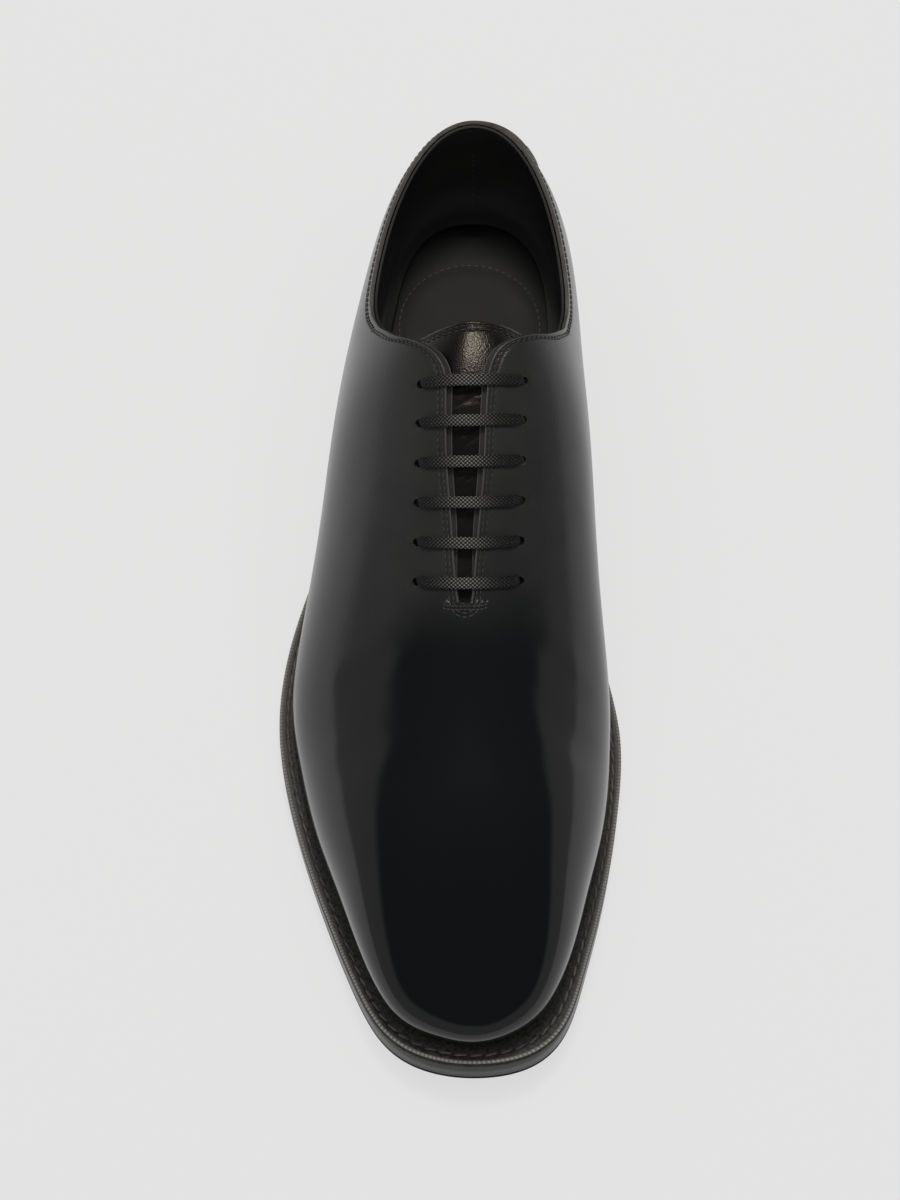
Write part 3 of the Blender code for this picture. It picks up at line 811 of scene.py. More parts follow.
# Polish: a mirror shine on vamp and toe, softer on the quarters, dull beside the lacing
net_offsets = upper_net[..., 0] - RIDGE_LINE(upper_net[..., 1])[..., 0]
net_sides = np.clip(net_offsets / SHINE_HALF, -1, 1)
net_stations = upper_net[..., 1]
vamp_shine = VAMP_SHINE[0] * smooth_step((net_stations - VAMP_SHINE[1] + VAMP_LEAN[0] * net_sides)
                                         / (VAMP_SHINE[2] + VAMP_LEAN[1] * net_sides))
toe_shine = TOE_SHINE[0] * smooth_step((net_stations - TOE_SHINE[1]) / TOE_SHINE[2])
quarter_shine = QUARTER_SHINE[0] * smooth_step((np.abs(net_offsets) - QUARTER_SHINE[1]) / QUARTER_SHINE[2])
polish = np.maximum(vamp_shine + toe_shine, quarter_shine)

# Painted highlight: the folded edge is painted paler, for the thin line of light along it
wear = np.zeros(polish.shape)
wear[:, :edge_depth.shape[1]] = hump(edge_depth / HIGHLIGHT_BAND) * has_edge

# Layers: the wall is doubled behind the closing seam
layers = np.full(polish.shape, CALF_THICK / (CALF_THICK + OVERLAP_STEP))
layers[:, :edge_depth.shape[1]] += overlap_lift(upper_turns)[:, None] / (CALF_THICK + OVERLAP_STEP)

bm = sheet(upper_net, polish=polish, wear=wear, layers=layers)
punch_eyelets(bm, 0.0, EYELET_RADIUS)
upper = piece("upper_calf", bm, CALF, "upper", "upper")
thicken(upper, CALF_THICK + OVERLAP_STEP, 0.5)
layer_group = upper.vertex_groups.new(name="layers")
for number, layer in enumerate(upper.data.attributes["layers"].data):
    layer_group.add([number], layer.value, "REPLACE")
upper.modifiers["wall"].vertex_group = layer_group.name

THREAD = leather("black_thread", (0.020, 0.0195, 0.0185), (0.040, 0.0385, 0.036), (0.40, 0.55), 0.25, 0.06)
bm = bmesh.new()
for stitch_line, stitch_out in twin_lines:
    sew(bm, stitch_line, stitch_out, *EDGE_STITCH)
sew(bm, overlap_line, overlap_out, *EDGE_STITCH)
tack_across = np.linspace(-1, 1, 41)
for tack_station in TACK_STATIONS:
    tack_stations = tack_station - TACK_TURN * tack_across ** 4
    tack_line = over_instep(TACK_HALF * tack_across, tack_stations, 0.05)
    tack_out = over_instep(TACK_HALF * tack_across, tack_stations, 1.05) - tack_line
    sew(bm, tack_line, tack_out, *TACK_STITCH)
piece("edge_stitches", bm, THREAD, "upper")

# Lining
# Soft dull black calf that backs the upper all over.  Its trimmed edge shows as a second fine line inside the
# folded topline and facings, and a seam runs down inside the heel.
LINING_OUT = -1.55                   # outer side of the lining, from the last's surface
LINING_THICK = 0.75
LINING_PROUD = (0.30, 1.50)          # past the folded edge, along the topline and along the facings
LINING_RIM = (0.0, 0.25, 0.5)        # close rows at its edge
LINING_BELOW = 0.6                   # first of the wide rows
LINING_ROWS = 60
LINING_HOLE = 1.15                   # its eyelet holes against the upper's
SEAT_ROUND = (5.0, 12.0)             # radius of the turn from wall to seat, at the toe and at the heel
SEAT_ABOVE = 3.1                     # foot of the lining above the feather line, on the sock
SHADED_EDGE_BAND = 3.5                    # band along its edge where shade is painted darker
BACK_SEAM = (3.6, 32.0)              # ends of the back seam's stitches, above the feather line
BACK_STITCH = (2.6, 1.3, 0.55)
# Its darker colour is painted shade, and its paler one a highlight painted on its edge
LINING = leather("lining_calf", (0.027, 0.0267, 0.0256), (0.036, 0.0355, 0.0341), (0.5, 0.62), 0.4, 0.03,
                 polished=(0.6, (0.0130, 0.0129, 0.0124)), edge_highlight_colour=(0.085, 0.080, 0.072))


def beside_lacing(row):
    """1 where a section line ends at a facing, 0 where it ends at the topline or the throat."""
    ridge = SECTION(row)[..., 5]
    return smooth_step((ridge - COLLAR_TO) / 20) * smooth_step((THROAT - ridge) / 25)


def lining_rows(row, top):
    """Distances of the lining's mesh rows, from just above the upper's edge to the sock."""
    proud = LINING_PROUD[0] + (LINING_PROUD[1] - LINING_PROUD[0]) * beside_lacing(row)
    wall = LINING_BELOW + np.linspace(0, 1, LINING_ROWS) * (top - SEAT_ABOVE - LINING_BELOW)
    return np.append(np.array(LINING_RIM) - proud, wall)


def seat_turn(rows, above):
    """Radius of the lining's turn into the seat, and how far it has turned at heights above its foot."""
    from_heel = np.minimum(rows, TURNS - rows)
    radius = SEAT_ROUND[0] + (SEAT_ROUND[1] - SEAT_ROUND[0]) * (1 - smooth_step((from_heel + 0.3) / 2.2))
    return radius, np.clip(1 - (above - SEAT_ABOVE) / radius, 0, 1)


def lining_lift(rows, above):
    """Place of the lining's outer side against the last, at distances above the feather line."""
    radius, turned = seat_turn(rows, above)
    return LINING_OUT - radius * (1 - np.sqrt(1 - turned ** 2))


lining_turns = even_rows(150, 0.45, (THROAT_ROW - 0.002, THROAT_ROW + 0.002))
lining_shares = shares_below(lining_turns, lining_rows)
steps = np.linspace(0, 1, 161)
lining_above = np.array([np.interp(shares, steps, run_along(last(row, steps)))
                         for row, shares in zip(lining_turns, lining_shares)])
lining_out = lining_lift(lining_turns[:, None], lining_above)
lining_depth = lining_above[:, :1] - lining_above
lining_turned = seat_turn(lining_turns[:, None], lining_above)[1]
# Painted shade: darker in the turn into the seat and along the band below the edge.  Painted highlight: paler
# edge beside the lacing.
painted_shade = np.maximum(smooth_step(2 * lining_turned), hump(lining_depth / SHADED_EDGE_BAND))
lining_wear = beside_lacing(lining_turns)[:, None] * (lining_depth < 0.1)
bm = sheet(skin(lining_turns[:, None], lining_shares, lining_out), polish=painted_shade, wear=lining_wear)
punch_eyelets(bm, LINING_OUT, LINING_HOLE * EYELET_RADIUS)
lining = piece("lining", bm, LINING, "upper", "upper")
thicken(lining, LINING_THICK, 0.3)

steps = np.linspace(0, 1, 400)
back_above = np.linspace(*BACK_SEAM, 120)
back_shares = np.interp(back_above, run_along(last(0.0, steps)), steps)
back_in = lining_lift(np.zeros(120), back_above) - LINING_THICK
back_line = skin(np.zeros(120), back_shares, back_in - 0.1)
back_out = skin(np.zeros(120), back_shares, back_in - 1.1) - back_line
SEAM_THREAD = leather("seam_thread", (0.060, 0.058, 0.052), (0.090, 0.086, 0.078), (0.45, 0.6), 0.25, 0.06)
bm = bmesh.new()
sew(bm, back_line, back_out, *BACK_STITCH)
piece("lining_stitches", bm, SEAM_THREAD, "upper")

# Insole
# Padded sock of black calf over the insole board, glued in, with a cushion under the heel that a row of
# stitches outlines.
INSOLE_LIFT = (FEATHER_LIFT, FEATHER_LIFT + 3.0)
INSOLE_INSIDE = 2.3
INSOLE_GRID = (48, 220)
HEEL_PAD = (6.5, 48.0)               # x and station of the middle of the cushion's round back
HEEL_PAD_HALF = 23.0
HEEL_PAD_ROUND = 20.4
HEEL_PAD_REACH = 118.0               # station where its stitches run out under the tongue
PAD_SWELL = (0.5, 5.0)               # height of the cushion, and how far from its stitches it is reached
PAD_GROOVE = (0.3, 0.7)              # depth and half width
PAD_STITCH = (2.3, 1.7, 0.45)
SOCK = leather("sock_calf", (0.0072, 0.0073, 0.0068), (0.0098, 0.0099, 0.0092), (0.66, 0.76), 0.45, 0.03)


def plate(left, right, across, *levels):
    """Solid between two plan lines, raised in levels; each gives the place of (x, station, share across)."""
    along = len(left) - 1
    bm = bmesh.new()
    plan = bm.verts.layers.float_vector.new("plan")
    bmesh.ops.create_grid(bm, x_segments=across, y_segments=along, size=0.5)
    for vert in bm.verts:
        share, j = vert.co.x + 0.5, round((vert.co.y + 0.5) * along)
        vert[plan] = (*(left[j] + (right[j] - left[j]) * share), share)
        vert.co = world(levels[0](*vert[plan]))
    bmesh.ops.remove_doubles(bm, verts=bm.verts[:], dist=0.01 * MM)
    top = bm.faces[:]
    for level in levels[1:]:
        raised = bmesh.ops.extrude_face_region(bm, geom=top)["geom"]
        top = [item for item in raised if isinstance(item, bmesh.types.BMFace)]
        for vert in {vert for face in top for vert in face.verts}:
            vert.co = world(level(*vert[plan]))
    return bm


def sole_level(lift):
    """Level of a plate that follows the sole."""
    return lambda x, station, share: sole_point(x, station, lift)


def heel_pad_line():
    """Stitch line of the heel cushion on the sock, round the heel and forward on both sides."""
    turn = np.linspace(0, math.pi, 60)
    middle, back = HEEL_PAD
    arch = np.stack([middle - HEEL_PAD_HALF * np.cos(turn), back - HEEL_PAD_ROUND * np.sin(turn)], -1)
    ends = [[(middle + side * HEEL_PAD_HALF, HEEL_PAD_REACH)] for side in (-1, 1)]
    plan = np.vstack([ends[0], arch, ends[1]])
    run = run_along(plan)
    at = np.linspace(0, run[-1], 400)
    return sole_point(np.interp(at, run, plan[:, 0]), np.interp(at, run, plan[:, 1]), INSOLE_LIFT[1] - 0.1)


pad_line = heel_pad_line()
pad_tree = line_tree(pad_line)


def sock_top(x, station, share):
    """Point of the sock's top, with the groove of the stitches and the swell of the cushion."""
    flat = sole_point(x, station, INSOLE_LIFT[1])
    apart = pad_tree.find(flat)[2]
    middle, back = HEEL_PAD
    reach = max(0.0, (back - station) / HEEL_PAD_ROUND)
    inside = ((x - middle) / HEEL_PAD_HALF) ** 2 + reach ** 2 < 1
    raised = PAD_SWELL[0] * float(smooth_step(apart / PAD_SWELL[1])) * inside
    pressed = PAD_GROOVE[0] * float(hump(apart / PAD_GROOVE[1]))
    return sole_point(x, station, INSOLE_LIFT[1] + raised - pressed)


half_turns = even_rows(INSOLE_GRID[1], 0.0)[:INSOLE_GRID[1] + 1]
bm = plate(outline(half_turns, -INSOLE_INSIDE), outline(TURNS - half_turns, -INSOLE_INSIDE), INSOLE_GRID[0],
           sole_level(INSOLE_LIFT[0]), sock_top)
round_rims(piece("insole_sock", bm, SOCK, "insole", "insole"), 0.7)
bm = bmesh.new()
sew(bm, pad_line, np.tile([0.0, 0.0, 1.0], (len(pad_line), 1)), *PAD_STITCH)
piece("insole_stitches", bm, SEAM_THREAD, "insole")

# Tongue
# Folded black calf under the facings, sewn in at the foot of the throat.  Its free end is rounded and bound
# with two rows of stitches, and the lacing creases it between the bars.
TONGUE_BOTTOM = 181.0
TONGUE_TOP = 90.6
TONGUE_ARCH = -1.2
TONGUE_HALF_BOTTOM = 13.0
TONGUE_HALF_TOP = 20.5
TONGUE_LIFT = -2.5
TONGUE_THICK = 1.6
TONGUE_GRID = (44, 150)
TONGUE_ROWS = (1.5, 2.9)             # stitch rows, from the free end
TONGUE_STITCH = (2.0, 1.6, 0.5)
TONGUE_GROOVE = (0.2, 0.4)           # depth and half width
END_SWELL = (0.25, 0.8, 0.9)         # bound end: height, distance from it, half width
TONGUE_DROOP = 4.2                   # how far the free end hangs into the empty shoe
TONGUE_DROOP_FROM = 122.0
LACE_ROOM = 0.85                     # how far the lace presses the sides of the tongue down
LACE_ROOM_SIDE = (6.5, 3.5)          # distance from the ridge where that starts, and how far it takes
LACE_ROOM_END = (99.0, 8.0)          # and the same for the station
# Black calf made darker than the upper's: partly its own colour, partly painted shade for the gap between the
# facings
TONGUE_CALF = leather("tongue_calf", (0.0022, 0.0021, 0.0020), (0.0042, 0.0038, 0.0035), (0.30, 0.37), 0.55,
                      0.06, plain={"Specular Tint": (1.0, 0.90, 0.78, 1)})

# Creases of the tongue, as lines between two places (distance from the ridge, station)
TONGUE_CREASES = (
    # from          to             depth width
    ((-4.0, 113.0), (2.0, 111.2),  0.22, 0.6),
    ((0.5, 112.6),  (6.5, 109.4),  0.26, 0.6),
    ((-1.0, 115.2), (6.5, 112.0),  0.24, 0.6),
    ((-4.5, 116.4), (3.5, 115.0),  0.18, 0.5),
    ((-4.5, 123.6), (1.5, 122.4),  0.20, 0.5),
    ((-1.5, 124.6), (4.5, 121.4),  0.24, 0.6),
    ((0.0, 127.0),  (5.0, 123.8),  0.20, 0.5),
    ((-3.0, 136.0), (1.0, 134.6),  0.20, 0.5),
    ((0.0, 137.0),  (4.0, 133.4),  0.20, 0.5),
    ((-2.0, 147.4), (3.0, 145.2),  0.18, 0.5),
)


def tongue_place(side, share):
    """Offset and station of a place on the tongue: side runs from -1 to 1, share from the foot to the end."""
    half = TONGUE_HALF_BOTTOM + (TONGUE_HALF_TOP - TONGUE_HALF_BOTTOM) * share
    top = TONGUE_TOP + TONGUE_ARCH * side * side
    return side * half, TONGUE_BOTTOM + (top - TONGUE_BOTTOM) * share


def tongue_point(side, share, lift=0.0):
    """Point on the tongue's upper side."""
    offset, station = tongue_place(side, share)
    aside = (np.abs(offset) - LACE_ROOM_SIDE[0]) / LACE_ROOM_SIDE[1]
    below = (station - LACE_ROOM_END[0]) / LACE_ROOM_END[1]
    sag = LACE_ROOM * smooth_step(aside) * smooth_step(below)
    hanging = np.clip((TONGUE_DROOP_FROM - station) / (TONGUE_DROOP_FROM - TONGUE_TOP), 0, None)
    return over_instep(offset, station, TONGUE_LIFT - sag - TONGUE_DROOP * hanging ** 2 + lift)


def tongue_relief(side, share):
    """Creases between the bars, the bound edge and its stitch grooves."""
    offset, station = tongue_place(side, share)
    to_end = (1 - share) * (TONGUE_BOTTOM - TONGUE_TOP)
    lift = swell(to_end, *END_SWELL) + 0 * offset
    for row in TONGUE_ROWS:
        lift -= TONGUE_GROOVE[0] * hump((to_end - row) / TONGUE_GROOVE[1])
    return lift + trough_lift(TONGUE_CREASES, offset, station)


tongue_sides = np.linspace(-1, 1, TONGUE_GRID[0] + 1)[None]
tongue_shares = 1 - np.linspace(1, 0, TONGUE_GRID[1] + 1)[:, None] ** 1.5
bm = sheet(tongue_point(tongue_sides, tongue_shares, tongue_relief(tongue_sides, tongue_shares)))
tongue = piece("tongue_calf", bm, TONGUE_CALF, "tongue", "tongue")
thicken(tongue, TONGUE_THICK, 0.6)
bm = bmesh.new()
for row in TONGUE_ROWS:
    sides = np.linspace(-0.97, 0.97, 60)
    share = np.full(60, 1 - row / (TONGUE_BOTTOM - TONGUE_TOP))
    on = tongue_point(sides, share)
    sew(bm, on, tongue_point(sides, share, 1.0) - on, *TONGUE_STITCH)
piece("tongue_stitches", bm, THREAD, "tongue")

# Welt
# Strip of black leather sewn round the upper and to the outsole.  Its top is dark and rough, a row of slanted
# lockstitches runs in a groove along its middle, and a wheel has notched its outer edge.
WELT_LIFT = (5.03, 8.3)
WELT_INSIDE = 5.0
WELT_STRIPS = 1000
WELT_STITCH = (4.7, 4.1, 0.95)
WELT_STITCH_SLANT = math.radians(9)
WELT_STITCH_PLACE = 0.56             # share of the welt's width from the upper
WELT_STITCH_FROM = 3.1               # section line where the row starts and ends, counted from the heel
NOTCH_PITCH = 1.15
NOTCH_DEPTH = 0.22


def welt_profile(width):
    """Loop round the welt's section, as (distance from the feather line, lift, share of the notches and of
    the glint painted on them).
    """
    low, high = WELT_LIFT
    groove = WELT_STITCH_PLACE * width
    return ((-WELT_INSIDE, low, 0), (-WELT_INSIDE, high, 0), (-1.0, high, 0), (groove - 1.0, high, 0),
            (groove - 0.55, high - 0.12, 0), (groove, high - 0.42, 0), (groove + 0.55, high - 0.12, 0),
            (groove + 1.0, high, 0), (width - 1.1, high, 0.0), (width - 0.7, high + 0.06, 0.5),
            (width - 0.3, high + 0.04, 1.0), (width - 0.06, high - 0.16, 1.0), (width, high - 0.45, 0.3),
            (width - 0.50, high - 0.65, 0), (width - 0.50, high - 1.45, 0), (width - 0.02, high - 1.75, 0),
            (width + 0.06, high - 2.0, 0), (width + 0.05, low + 0.3, 0), (width, low, 0),
            (-WELT_INSIDE, low, 0))


welt_turns = even_rows(WELT_STRIPS, 0.0)
welt_run = run_along(SECTION(welt_turns)[:, :2])
notches = 0.5 + 0.5 * np.cos(2 * math.pi * welt_run / NOTCH_PITCH)
profiles = np.array([welt_profile(width) for width in SECTION(welt_turns)[:, 2]])
welt_plan = np.stack([outline(welt_turns, profiles[:, k, 0]) for k in range(profiles.shape[1])], 1)
welt_high = profiles[..., 1] - NOTCH_DEPTH * profiles[..., 2] * notches[:, None]
# Painted glint: the lip of the notched edge is painted pale, most between the notches
welt_wear = profiles[..., 2] * (1 - 0.75 * notches[:, None])
bm = sheet(sole_point(welt_plan[..., 0], welt_plan[..., 1], welt_high), wear=welt_wear)


def fibre_group():
    """Fibres of cut leather: a fine noise, pressed together upwards."""
    group, given, result = shader_group("fibres", ("Scale", "Streak"), ("Height",))
    spot = node(group, "ShaderNodeTexCoord").outputs["Object"]
    pressed = node(group, "ShaderNodeCombineXYZ", {"X": 1.0, "Y": 1.0, "Z": given.outputs["Streak"]})
    flat = node(group, "ShaderNodeMapping", {"Vector": spot, "Scale": pressed.outputs["Vector"]})
    fibres = node(group, "ShaderNodeTexNoise", {"Vector": flat.outputs["Vector"], "Detail": 5.0,
                                                "Scale": given.outputs["Scale"], "Roughness": 0.62})
    group.links.new(fibres.outputs["Fac"], result.inputs["Height"])
    return group


FIBRES = fibre_group()


def edge_leather(name, dark, light, roughness, streak, depth, fibre=420.0, edge_highlight_colour=None, plain=None):
    """Cut leather, inked and ironed: fine fibres over a dark brown black, drawn out along the edge.
    Where a wear attribute is full, the worn colour shows."""
    look = new_look(name)
    tree = look.node_tree
    group = node(tree, "ShaderNodeGroup", {"Scale": fibre, "Streak": streak}, node_tree=FIBRES)
    fibres = group.outputs["Height"]
    colour = mix_colour(tree, stretch(tree, fibres, TONE_SPAN), (*dark, 1), (*light, 1))
    if edge_highlight_colour is not None:
        colour = mix_colour(tree, attribute(tree, "wear"), colour, (*edge_highlight_colour, 1))
    dress(look, colour, stretch(tree, fibres, ROUGH_SPAN, roughness), fibres, depth, plain)
    return look


# Its pale colour is a glint painted on the notched lip
WELT_LEATHER = edge_leather("welt_leather", (0.0070, 0.0066, 0.0060), (0.0480, 0.0450, 0.0405), (0.42, 0.62),
                            1.0, 0.12, fibre=950.0, edge_highlight_colour=(0.30, 0.285, 0.26))
piece("welt_strip", bm, WELT_LEATHER, "welt", "welt")

stitch_turns = np.linspace(WELT_STITCH_FROM, TURNS - WELT_STITCH_FROM, 3000)
stitch_plan = outline(stitch_turns, WELT_STITCH_PLACE * SECTION(stitch_turns)[:, 2])
welt_line = sole_point(stitch_plan[:, 0], stitch_plan[:, 1], WELT_LIFT[1] - 0.2)
bm = bmesh.new()
sew(bm, welt_line, np.tile([0.0, 0.0, 1.0], (len(welt_line), 1)), *WELT_STITCH, WELT_STITCH_SLANT)
WAXED_THREAD = leather("waxed_thread", (0.050, 0.0480, 0.0430), (0.110, 0.1040, 0.0930), (0.30, 0.45), 0.3,
                       0.1)
piece("welt_stitches", bm, WAXED_THREAD, "welt")

# Outsole
# Leather sole, trimmed flush with the welt.  Its edge is inked and ironed to a brown-black gloss over a dark
# line
# # of painted shadow along its foot, and its underside is stained black.
OUTSOLE_LIFT = (0.0, 5.0)
FOOT_SHADOW_HEIGHT = 1.0                      # height of the painted shadow along the foot of the edge
OUTSOLE_GRID = (24, 420)
half_turns = even_rows(OUTSOLE_GRID[1], 0.0)[:OUTSOLE_GRID[1] + 1]
bm = plate(outline(half_turns, SECTION(half_turns)[:, 2]),
           outline(TURNS - half_turns, SECTION(TURNS - half_turns)[:, 2]), OUTSOLE_GRID[0],
           sole_level(OUTSOLE_LIFT[0]), sole_level(FOOT_SHADOW_HEIGHT), sole_level(OUTSOLE_LIFT[1]))
# Faces low on the edge take the underside's black as a painted shadow along the foot; on the underside it is
# the stain
for face in bm.faces:
    centre = face.calc_center_median() / MM
    face.material_index = int(centre.z - sole_height(MIDDLE_STATION - centre.y) < FOOT_SHADOW_HEIGHT * 0.9)
SOLE_LEATHER = edge_leather("sole_leather", (0.012, 0.0106, 0.0094), (0.018, 0.0160, 0.0142), (0.26, 0.34),
                            2.0, 0.015)
UNDERSIDE_AND_FOOT_SHADOW = edge_leather("sole_underside_and_foot_shadow", (0.003, 0.003, 0.003), (0.006, 0.0057, 0.0054), (0.7, 0.85), 1.0,
                         0.06, plain={"Specular IOR Level": 0.12})
outsole = piece("outsole_leather", bm, SOLE_LEATHER, "outsole", "outsole")
outsole.data.materials.append(UNDERSIDE_AND_FOOT_SHADOW)
round_rims(outsole, 0.4)

# Heel
# Stack of leather lifts, trimmed together and inked, with fine joints between them, over a rubber top piece
# that meets the floor.
BREAST = 70.0
BREAST_CURVE = 3.0
HEEL_TAPER = 0.94
HEEL_MIDDLE = (7.7, 38.0)
HEEL_STRIPS = 60
HEEL_ACROSS = 24
TOP_PIECE_THICK = 6.0
STACK_BOTTOM = 6.05
LIFTS = 4
LIFT_GROOVE = 0.18
JOINT_HALF = 0.016                   # half width of a joint, as a share of the stack's height


def heel_rows(medial):
    """Row numbers of the sole edge from the heel back to the breast, on one side."""
    rows = np.linspace(0, 5, 200)
    turns = TURNS - rows if medial else rows
    stations = outline(turns, SECTION(turns)[:, 2])[:, 1]
    share = np.linspace(0, np.interp(BREAST, stations, rows), HEEL_STRIPS + 1)
    return TURNS - share if medial else share


def heel_point(x, station, share, height, inset=0.0):
    """Point of the tapered heel, with the hollow of its breast."""
    hollow = BREAST_CURVE * (station / BREAST) ** 4 * (1 - (2 * share - 1) ** 2)
    size = 1 - (1 - HEEL_TAPER) * (HEEL_HEIGHT - height) / HEEL_HEIGHT - inset / 35
    return (HEEL_MIDDLE[0] + (x - HEEL_MIDDLE[0]) * size,
            HEEL_MIDDLE[1] + (station - hollow - HEEL_MIDDLE[1]) * size, height)


def stack_level(share_up, inset):
    """Level of the stack at a share of its height, set in for the joint of two lifts."""
    def level(x, station, share):
        seat = heel_point(x, station, share, HEEL_HEIGHT)
        seat_height = float(sole_height(seat[1])) - 0.05
        height = STACK_BOTTOM + (seat_height - STACK_BOTTOM) * share_up
        return heel_point(x, station, share, height, inset)
    return level


def heel_sides():
    """Plan lines of the heel, lateral and medial."""
    lateral, medial = heel_rows(False), heel_rows(True)
    return outline(lateral, SECTION(lateral)[:, 2]), outline(medial, SECTION(medial)[:, 2])


stack_levels = [stack_level(0.0, 0.0)]
for number in range(1, LIFTS):
    joint = number / LIFTS
    stack_levels += [stack_level(joint - JOINT_HALF, 0.0), stack_level(joint, LIFT_GROOVE),
                     stack_level(joint + JOINT_HALF, 0.0)]
stack_levels.append(stack_level(1.0, 0.0))
STACK_LEATHER = edge_leather("stack_leather", (0.009, 0.0080, 0.0072), (0.020, 0.0178, 0.0158), (0.24, 0.36),
                             3.0, 0.04)
round_rims(piece("heel_lifts", plate(*heel_sides(), HEEL_ACROSS, *stack_levels), STACK_LEATHER, "heel_stack",
                 "heel_stack"), 0.2)
RUBBER = edge_leather("heel_rubber", (0.008, 0.008, 0.008), (0.014, 0.014, 0.014), (0.5, 0.65), 1.0, 0.05)
bm = plate(*heel_sides(), HEEL_ACROSS, lambda x, station, share: heel_point(x, station, share, 0.0),
           lambda x, station, share: heel_point(x, station, share, TOP_PIECE_THICK))
round_rims(piece("heel_rubber", bm, RUBBER, "heel_top_piece", "heel_top_piece"), 0.5)

# Lace
# One flat waxed cotton braid, laced in straight bars: it passes over each pair of facings, dives through the
# eyelets and runs on inside, and both ends stay under the facing at the top eyelets.
LACE_WIDTH = 3.6
LACE_THICK = 1.15
LACE_OVER = 0.75                     # middle of the braid above the leather
LACE_INSIDE = -2.66                  # middle of the braid inside, under the lining
HOLE_WIDTH = 2.3                     # the braid folds together in an eyelet
LACING = ((1, "R"), (1, "L"), (3, "L"), (3, "R"), (5, "R"), (5, "L"), (6, "L"), (6, "R"), (4, "R"), (4, "L"),
          (2, "L"), (2, "R"))
DIVE = (
    # through an eyelet, from inside: distance towards the other facing, lift, width, turn
    (0.2, LACE_INSIDE, HOLE_WIDTH, 0.7),
    (0.4, -0.8, HOLE_WIDTH, 0.3),
    (1.2, LACE_OVER - 0.35, 2.8, 0.0),
)
RUN_WIDTH = 3.0
RUN_SHIFT = (1.4, -1.8)              # runs inside by turns: how far outside their eyelets they lie
LACE_SQUARE = (0.7, 0.8)             # powers that fill the corners of its section, sideways and upwards
BAR_BOW = (1.1, 2.0)                 # how far the top and the bottom bar's middle lies towards the toe
BRAID_PITCH = 1.3                    # of the strands along the lace
BRAID_ACROSS = 1.5                   # strands from the middle to each edge
BRAID_DEPTH = 0.22
BRAID_SPAN = (0.38, 0.85)            # heights between which the strands rise out of the shade painted between them
STRAND_HIGHLIGHT_HALF = 6.5                    # half width, across the ridge, of the highlight painted on the strands
LACE_AROUND = 20
LACE_STEP = 0.45


def lace_controls():
    """Places along the braid: (offset, station, lift, width, turn); turn 0 is a bar and 1 a run inside."""
    pairs = eyelets()
    stops = [pairs[number - 1][0 if side == "L" else 1] for number, side in LACING]
    route = []
    for i in range(0, len(stops), 2):
        (start, start_station), (end, end_station) = stops[i], stops[i + 1]
        inward = 1 if end > start else -1
        bow = np.interp(LACING[i][0], (1, EYELET_PAIRS), BAR_BOW)
        first = [(start + far * inward, start_station, *rest) for far, *rest in DIVE]
        final = [(end - far * inward, end_station, *rest) for far, *rest in reversed(DIVE)]
        bar = []
        for share in np.linspace(0.10, 0.90, 9):
            bowed = bow * (1 - (2 * share - 1) ** 2)
            bar.append((start + (end - start) * share,
                        start_station + (end_station - start_station) * share + bowed,
                        LACE_OVER, LACE_WIDTH, 0.0))
        route += first + bar + final
        if i + 2 < len(stops):
            ahead, ahead_station = stops[i + 2]
            shift = RUN_SHIFT[i // 2 % 2]
            for share in np.linspace(0.12, 0.88, 5):
                route.append((end + (ahead - end) * share + shift * math.copysign(1, end),
                              end_station + (ahead_station - end_station) * share,
                              LACE_INSIDE, RUN_WIDTH, 1.0))
    return np.array(route)


controls = lace_controls()
offsets, stations, lifts = controls.T[:3]
stops_at = over_instep(offsets, stations, lifts)
bar_across = over_instep(offsets, stations + 0.5, lifts) - over_instep(offsets, stations - 0.5, lifts)
run_across = over_instep(offsets + 0.5, stations, lifts) - over_instep(offsets - 0.5, stations, lifts)
turned = controls[:, 4:] * math.pi / 2
across_at = bar_across * np.cos(turned) + run_across * np.sin(turned)
stop_run = run_along(stops_at)
lace_length = stop_run[-1]
lace_at = np.linspace(0, lace_length, int(lace_length / LACE_STEP))
lace_middle = smooth_curve(stop_run, stops_at)(lace_at)
lace_width = np.interp(lace_at, stop_run, controls[:, 3])
lace_ahead = np.gradient(lace_middle, axis=0)
lace_ahead /= np.linalg.norm(lace_ahead, axis=1, keepdims=True)
lace_side = np.stack([np.interp(lace_at, stop_run, column) for column in across_at.T], -1)
lace_side -= lace_ahead * np.sum(lace_side * lace_ahead, axis=1, keepdims=True)
lace_side /= np.linalg.norm(lace_side, axis=1, keepdims=True)
lace_up = np.cross(lace_ahead, lace_side)
round_turn = np.linspace(0, 2 * math.pi, LACE_AROUND + 1)
cross_side = np.sign(np.cos(round_turn)) * np.abs(np.cos(round_turn)) ** LACE_SQUARE[0]
cross_up = np.sign(np.sin(round_turn)) * np.abs(np.sin(round_turn)) ** LACE_SQUARE[1]
lace_net = (lace_middle[:, None] + lace_side[:, None] * (cross_side * lace_width[:, None] / 2)[..., None]
            + lace_up[:, None] * (cross_up * LACE_THICK / 2)[..., None])
lace_offset = np.interp(lace_at, stop_run, offsets)
# Painted highlight: the strands are painted pale over the gap between the facings, fading out over them
shine = np.repeat(hump(lace_offset / STRAND_HIGHLIGHT_HALF)[:, None], len(round_turn), 1)
along_lace = np.repeat(lace_at[:, None], len(round_turn), 1)
across_lace = np.repeat(cross_side[None], len(lace_at), 0)


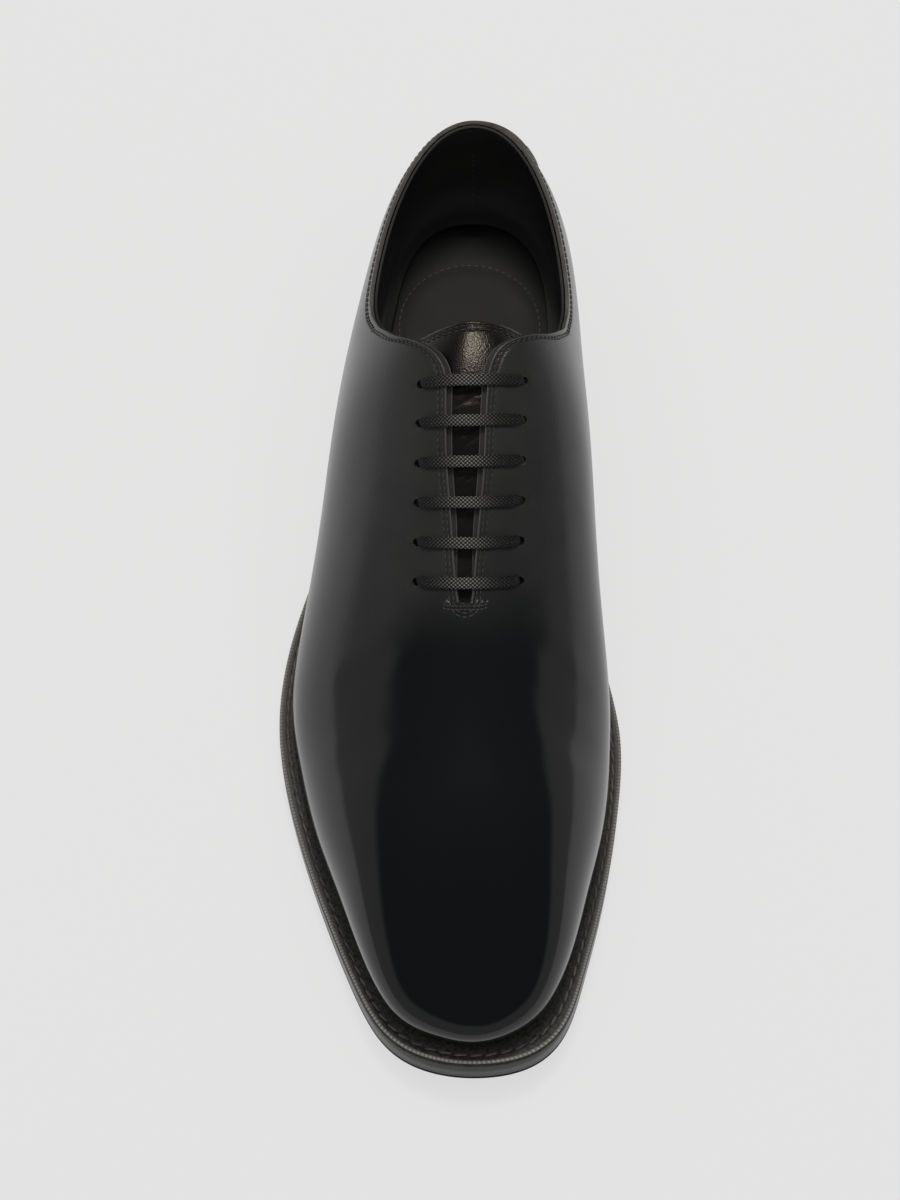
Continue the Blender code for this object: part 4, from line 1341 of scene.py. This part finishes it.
def braid_group():
    """Flat braid: strands that cross on the slant, each in turn over and under."""
    group, given, result = shader_group("braid", ("Along", "Across"), ("Height",))

    def sums(operation, first, second=0.0, third=0.0):
        return node(group, "ShaderNodeMath", {0: first, 1: second, 2: third}, operation=operation).outputs[0]

    along = sums("DIVIDE", given.outputs["Along"], BRAID_PITCH)
    aside = sums("MULTIPLY", given.outputs["Across"], BRAID_ACROSS)
    right, left = sums("ADD", along, aside), sums("SUBTRACT", along, aside)
    in_right, in_left = sums("FRACT", right), sums("FRACT", left)
    whole = sums("ADD", sums("FLOOR", right), sums("FLOOR", left))
    turn = sums("GREATER_THAN", sums("FRACT", sums("MULTIPLY", whole, 0.5)), 0.25)
    over_right = sums("SINE", sums("MULTIPLY", in_right, math.pi))
    over_left = sums("SINE", sums("MULTIPLY", in_left, math.pi))
    strand, bulge = mix(group, turn, over_right, over_left), mix(group, turn, over_left, over_right)
    group.links.new(sums("MULTIPLY", strand, sums("MULTIPLY_ADD", bulge, 0.6, 0.4)), result.inputs["Height"])
    return group


def braided(name, under, strand, strand_highlight_colour, roughness, plain):
    """Waxed braid: painted shade between the strands, and a highlight painted on the strands where a shine
    attribute is full.
    """
    look = new_look(name)
    tree = look.node_tree
    places = {"Along": attribute(tree, "along"), "Across": attribute(tree, "across")}
    height = node(tree, "ShaderNodeGroup", places, node_tree=braid_group()).outputs["Height"]
    top = mix_colour(tree, attribute(tree, "shine"), (*strand, 1), (*strand_highlight_colour, 1))
    colour = mix_colour(tree, stretch(tree, height, BRAID_SPAN), (*under, 1), top)
    dress(look, colour, roughness, height, BRAID_DEPTH, plain)
    return look


COTTON = braided("waxed_cotton", (0.001, 0.001, 0.001), (0.008, 0.008, 0.008), (0.170, 0.164, 0.152), 0.5,
                 plain={"Specular IOR Level": 0.25})
bm = sheet(lace_net, along=along_lace, across=across_lace, shine=shine)
bmesh.ops.holes_fill(bm, edges=[edge for edge in bm.edges if edge.is_boundary])
piece("lace", bm, COTTON, "lace", *(f"lace_bar_{number}" for number in range(1, EYELET_PAIRS + 1)))
